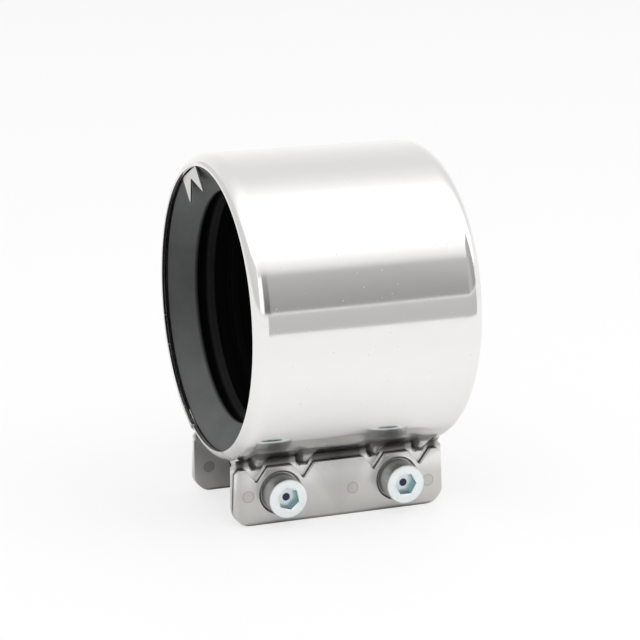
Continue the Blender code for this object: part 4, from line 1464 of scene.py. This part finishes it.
def make_floor():
    """A pale floor, which looks mostly white to the camera, and to reflections away from the coupling."""
    stage = settings("stage")
    shape = bmesh.new()
    bmesh.ops.create_grid(shape, x_segments=1, y_segments=1, size=4.0)
    piece = mesh_object("floor", shape)
    made, tree, shader = new_material("pale_floor")
    place = object_place(tree)
    low = scaled_colour(stage.floor, 0.985, 0.985, 0.985)
    tint = mix_colour(tree, noise(tree, place, 6.0, 2.0), low, opaque(stage.floor))
    tree.links.new(tint, shader.inputs["Base Color"])
    shader.inputs["Roughness"].default_value = 0.5
    shader.inputs["Specular IOR Level"].default_value = 0.2
    white = add_node(tree, "ShaderNodeEmission", {"Strength": 1.0})
    from_camera = add_node(tree, "ShaderNodeLightPath").outputs["Is Camera Ray"]
    away = add_node(tree, "ShaderNodeVectorMath", {0: place}, operation="LENGTH").outputs["Value"]
    far = map_range(tree, away, 0.05, 0.16, smooth=True)
    white_here = maths(tree, "MULTIPLY", seen_background(tree), maths(tree, "MAXIMUM", from_camera, far))
    share_white = maths(tree, "MULTIPLY", white_here, stage.floor_white)
    parts = {0: share_white, 1: shader.outputs[0], 2: white.outputs[0]}
    both = add_node(tree, "ShaderNodeMixShader", parts)
    tree.links.new(both.outputs[0], tree.nodes["Material Output"].inputs["Surface"])
    piece.data.materials.append(made)


def card_glow(name, level, strength):
    """A material that glows with a grey level worked out by its own nodes."""
    made = bpy.data.materials.new(name)
    made.use_nodes = True
    tree = made.node_tree
    tree.nodes.remove(tree.nodes["Principled BSDF"])
    axes = add_node(tree, "ShaderNodeSeparateXYZ", {0: object_place(tree)})
    glow = add_node(tree, "ShaderNodeEmission", {"Color": level(tree, axes), "Strength": strength})
    tree.links.new(glow.outputs[0], tree.nodes["Material Output"].inputs["Surface"])
    return made


def reflect_only(piece, material):
    """Lets only glossy surfaces see a card, so that it lights and shades nothing."""
    piece.data.materials.append(material)
    piece.visible_camera = False
    piece.visible_diffuse = False
    piece.visible_transmission = False
    piece.visible_shadow = False
    piece.visible_volume_scatter = False


def swept_card(name, ends, centre, axis, turn, steps, level, brightest):
    """A card swept from the line between two ends, with a glow that only glossy surfaces see."""
    shape = bmesh.new()
    verts = [shape.verts.new(end) for end in ends]
    bmesh.ops.spin(
        shape,
        geom=verts + [shape.edges.new(verts)],
        cent=centre,
        axis=axis,
        angle=turn,
        steps=steps,
        use_duplicate=False,
    )
    reflect_only(mesh_object(name, shape), card_glow(name, level, brightest))


def upright_card(name, azimuths, heights, distance, steps, level, brightest):
    """A card round the coupling from one azimuth to another, measured from -Y towards -X."""
    first, last = azimuths
    turned = Matrix.Rotation(-radians(first), 3, "Z")
    ends = [turned @ Vector((0.0, -distance, height)) for height in heights]
    turn = radians(first - last)
    swept_card(name, ends, ZERO, (0.0, 0.0, 1.0), turn, steps, level, brightest)


def make_card(name, azimuths, heights, distance, greys):
    """A card whose grey changes from its foot to its top."""

    def level(tree, axes):
        return map_range(tree, axes.outputs["Z"], *heights, *greys)

    upright_card(name, azimuths, heights, distance, 12, level, 1.0)


def spread_stops(ramp, stops):
    """Sets a colour ramp's stops from (position, grey) pairs."""
    elements = ramp.color_ramp.elements
    while len(elements) < len(stops):
        elements.new(1.0)
    for element, (position, grey) in zip(elements, stops):
        element.position = position
        element.color = (grey, grey, grey, 1.0)
    return ramp.outputs["Color"]


def make_ring():
    """A tall soft ring round the coupling: each azimuth has one grey at its foot and one at its top."""
    levels = (
        (-66.0, 0.36, 0.50),
        (-47.0, 0.36, 0.50),
        (-43.0, 0.48, 0.60),
        (-29.0, 0.48, 0.60),
        (-25.0, 0.34, 0.58),
        (-10.0, 0.34, 0.56),
        (-6.0, 0.13, 0.46),
        (17.0, 0.13, 0.46),
        (21.0, 1.25, 1.25),
        (37.0, 1.25, 1.25),
        (43.0, 0.66, 0.80),
        (70.0, 0.66, 0.80),
        (92.0, 0.74, 0.76),
        (165.0, 0.72, 0.74),
    )
    brightest, distance = 1.25, 1.0
    foot, glint, top = 0.125, 0.174, 0.80
    glint_grey = (0.72, 0.72, 0.72, 1.0)

    def level(tree, axes):
        left = maths(tree, "MULTIPLY", axes.outputs["X"], -1.0)
        front = maths(tree, "MULTIPLY", axes.outputs["Y"], -1.0)
        turn = maths(tree, "DIVIDE", maths(tree, "ARCTAN2", left, front), 2 * pi)
        along = maths(tree, "ADD", turn, 0.5)
        greys = []
        for column in (1, 2):
            ramp = add_node(tree, "ShaderNodeValToRGB", {0: along})
            ramp.color_ramp.interpolation = "EASE"
            stops = [(stop[0] / 360.0 + 0.5, stop[column] / brightest) for stop in levels]
            greys.append(spread_stops(ramp, stops))
        rise = map_range(tree, axes.outputs["Z"], foot, top)
        plain = mix_colour(tree, rise, greys[0], greys[1])
        below = maths(tree, "LESS_THAN", axes.outputs["Z"], glint)
        return mix_colour(tree, below, plain, glint_grey)

    azimuths = (levels[0][0], levels[-1][0])
    upright_card("soft_ring", azimuths, (foot, top), distance, 96, level, brightest)


def make_arch():
    """A wide soft light arched over the coupling: bright above the camera, paler overhead and behind."""
    levels = (
        (34.0, 0.60),
        (38.0, 0.92),
        (43.0, 1.12),
        (50.0, 1.40),
        (93.0, 1.40),
        (101.0, 1.12),
        (110.0, 0.95),
        (120.0, 0.86),
        (132.0, 0.85),
        (144.0, 0.90),
        (165.0, 1.00),
    )
    brightest = 1.40
    radius, left, right = 1.0, -1.1, 3.0
    centre = (0.0, 0.0, AXIS_HEIGHT)
    start, last = radians(levels[0][0]), radians(levels[-1][0])
    ends = [(x, -radius * cos(start), AXIS_HEIGHT + radius * sin(start)) for x in (left, right)]

    def level(tree, axes):
        up = maths(tree, "SUBTRACT", axes.outputs["Z"], AXIS_HEIGHT)
        front = maths(tree, "MULTIPLY", axes.outputs["Y"], -1.0)
        turn = maths(tree, "DIVIDE", maths(tree, "ARCTAN2", up, front), pi)
        ramp = add_node(tree, "ShaderNodeValToRGB", {0: turn})
        return spread_stops(ramp, [(angle / 180.0, grey / brightest) for angle, grey in levels])

    swept_card("soft_arch", ends, centre, (1.0, 0.0, 0.0), start - last, 48, level, brightest)


def make_world():
    """Even light from all round, which reflections and the camera see as a white background."""
    stage = settings("stage")
    world = bpy.data.worlds.new("soft_studio")
    world.use_nodes = True
    tree = world.node_tree
    back = tree.nodes["Background"]
    back.inputs["Color"].default_value = (1.0, 1.0, 1.0, 1.0)
    level = maths(tree, "MULTIPLY", seen_background(tree), 1.0 - stage.world_light)
    tree.links.new(maths(tree, "ADD", level, stage.world_light), back.inputs["Strength"])
    bpy.context.scene.world = world


def make_lamp(name, place, size, brightness):
    """A square lamp aimed at the coupling, as bright as a white card of that brightness."""
    lamp = bpy.data.lights.new(name, "AREA")
    lamp.shape = "RECTANGLE"
    lamp.size, lamp.size_y = size
    lamp.energy = brightness * pi * size[0] * size[1]
    made = bpy.data.objects.new(name, lamp)
    made.location = place
    aim = Vector((0.0, 0.0, AXIS_HEIGHT)) - Vector(place)
    made.rotation_euler = aim.to_track_quat("-Z", "Y").to_euler()
    made.visible_glossy = False
    bpy.context.scene.collection.objects.link(made)


def make_camera():
    """The camera, at the photograph's viewing angle."""
    stage = settings("stage")
    data = bpy.data.cameras.new("camera")
    data.sensor_width = 36.0
    data.lens = stage.lens
    data.clip_start = 0.01
    camera = bpy.data.objects.new("camera", data)
    camera.location = stage.eye
    look = Euler((pi / 2 - stage.pitch, 0.0, -stage.yaw)).to_matrix()
    camera.rotation_euler = (look @ Matrix.Rotation(stage.roll, 3, "Z")).to_euler()
    bpy.context.scene.collection.objects.link(camera)
    bpy.context.scene.camera = camera


class COUPLING_OT_band(bpy.types.Operator):
    """Models the band with its rolled ends, folded lugs, darts, notches and dished seats"""

    bl_idname = "coupling.band"
    bl_label = "Band"

    def execute(self, context):
        make_band()
        return {"FINISHED"}


class COUPLING_OT_bridge_plate(bpy.types.Operator):
    """Models the plate that closes the gap between the lugs"""

    bl_idname = "coupling.bridge_plate"
    bl_label = "Bridge Plate"

    def execute(self, context):
        make_bridge()
        return {"FINISHED"}


class COUPLING_OT_sleeve(bpy.types.Operator):
    """Models the rubber sleeve with its lips, ribs and stop"""

    bl_idname = "coupling.sleeve"
    bl_label = "Rubber Sleeve"

    def execute(self, context):
        make_sleeve()
        return {"FINISHED"}


class COUPLING_OT_contact_strip(bpy.types.Operator):
    """Models the contact strip with its pointed teeth"""

    bl_idname = "coupling.contact_strip"
    bl_label = "Contact Strip"

    def execute(self, context):
        make_contact_strip()
        return {"FINISHED"}


class COUPLING_OT_screws(bpy.types.Operator):
    """Models the two socket screws"""

    bl_idname = "coupling.screws"
    bl_label = "Screws"

    def execute(self, context):
        sizes = settings("screws")
        for side, turn in (("left", sizes.left_turn), ("right", sizes.right_turn)):
            piece = make_screw("screw_" + side, side + "_socket_screw", turn)
            finish_piece(piece, zinc_plating(), side + "_screw", "zinc_plate", "screw_" + side)
        return {"FINISHED"}


class COUPLING_OT_nuts(bpy.types.Operator):
    """Models the two nuts behind the rear lug"""

    bl_idname = "coupling.nuts"
    bl_label = "Nuts"

    def execute(self, context):
        for side in ("left", "right"):
            piece = make_nut("nut_" + side, side + "_hex_nut")
            finish_piece(piece, zinc_plating(), "coupling", "zinc_plate", "nut_" + side, sharp=30.0)
        return {"FINISHED"}


class COUPLING_OT_stage(bpy.types.Operator):
    """Sets up the floor, the light and the camera"""

    bl_idname = "coupling.stage"
    bl_label = "Stage"

    def execute(self, context):
        context.scene.view_settings.view_transform = "Standard"
        make_camera()
        make_world()
        make_floor()
        make_arch()
        make_ring()
        card = {"azimuths": (-60.0, 6.0), "heights": (0.009, 0.087), "distance": 0.34, "greys": (0.56, 0.60)}
        make_card("grey_low", **card)
        make_lamp("overhead", (0.1, -0.62, 1.05), (1.6, 0.9), settings("stage").overhead)
        return {"FINISHED"}


class COUPLING_PT_panel(bpy.types.Panel):
    """Lists the coupling's pieces and settings in the 3D view's sidebar."""

    bl_idname = "COUPLING_PT_panel"
    bl_label = "No Hub Coupling"
    bl_space_type = "VIEW_3D"
    bl_region_type = "UI"
    bl_category = "Coupling"

    def draw(self, context):
        for operator in OPERATORS:
            self.layout.operator(operator.bl_idname)
        for name, group in SETTINGS.items():
            box_layout = self.layout.box()
            box_layout.label(text=name.replace("_", " ").title())
            for item in group.__annotations__:
                box_layout.prop(getattr(context.scene, name), item)


OPERATORS = (
    COUPLING_OT_band,
    COUPLING_OT_bridge_plate,
    COUPLING_OT_sleeve,
    COUPLING_OT_contact_strip,
    COUPLING_OT_screws,
    COUPLING_OT_nuts,
    COUPLING_OT_stage,
)


def register():
    for group in SETTINGS.values():
        bpy.utils.register_class(group)
    for part in OPERATORS + (COUPLING_PT_panel,):
        bpy.utils.register_class(part)
    for name, group in SETTINGS.items():
        setattr(bpy.types.Scene, name, bpy.props.PointerProperty(type=group))


def unregister():
    for name in SETTINGS:
        delattr(bpy.types.Scene, name)
    for part in (COUPLING_PT_panel,) + OPERATORS[::-1]:
        bpy.utils.unregister_class(part)
    for group in reversed(SETTINGS.values()):
        bpy.utils.unregister_class(group)


def main():
    """Builds every piece and the stage."""
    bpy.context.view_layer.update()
    register()
    bpy.ops.coupling.band()
    bpy.ops.coupling.bridge_plate()
    bpy.ops.coupling.sleeve()
    bpy.ops.coupling.contact_strip()
    bpy.ops.coupling.screws()
    bpy.ops.coupling.nuts()
    bpy.ops.coupling.stage()


if __name__ == "__main__":
    main()
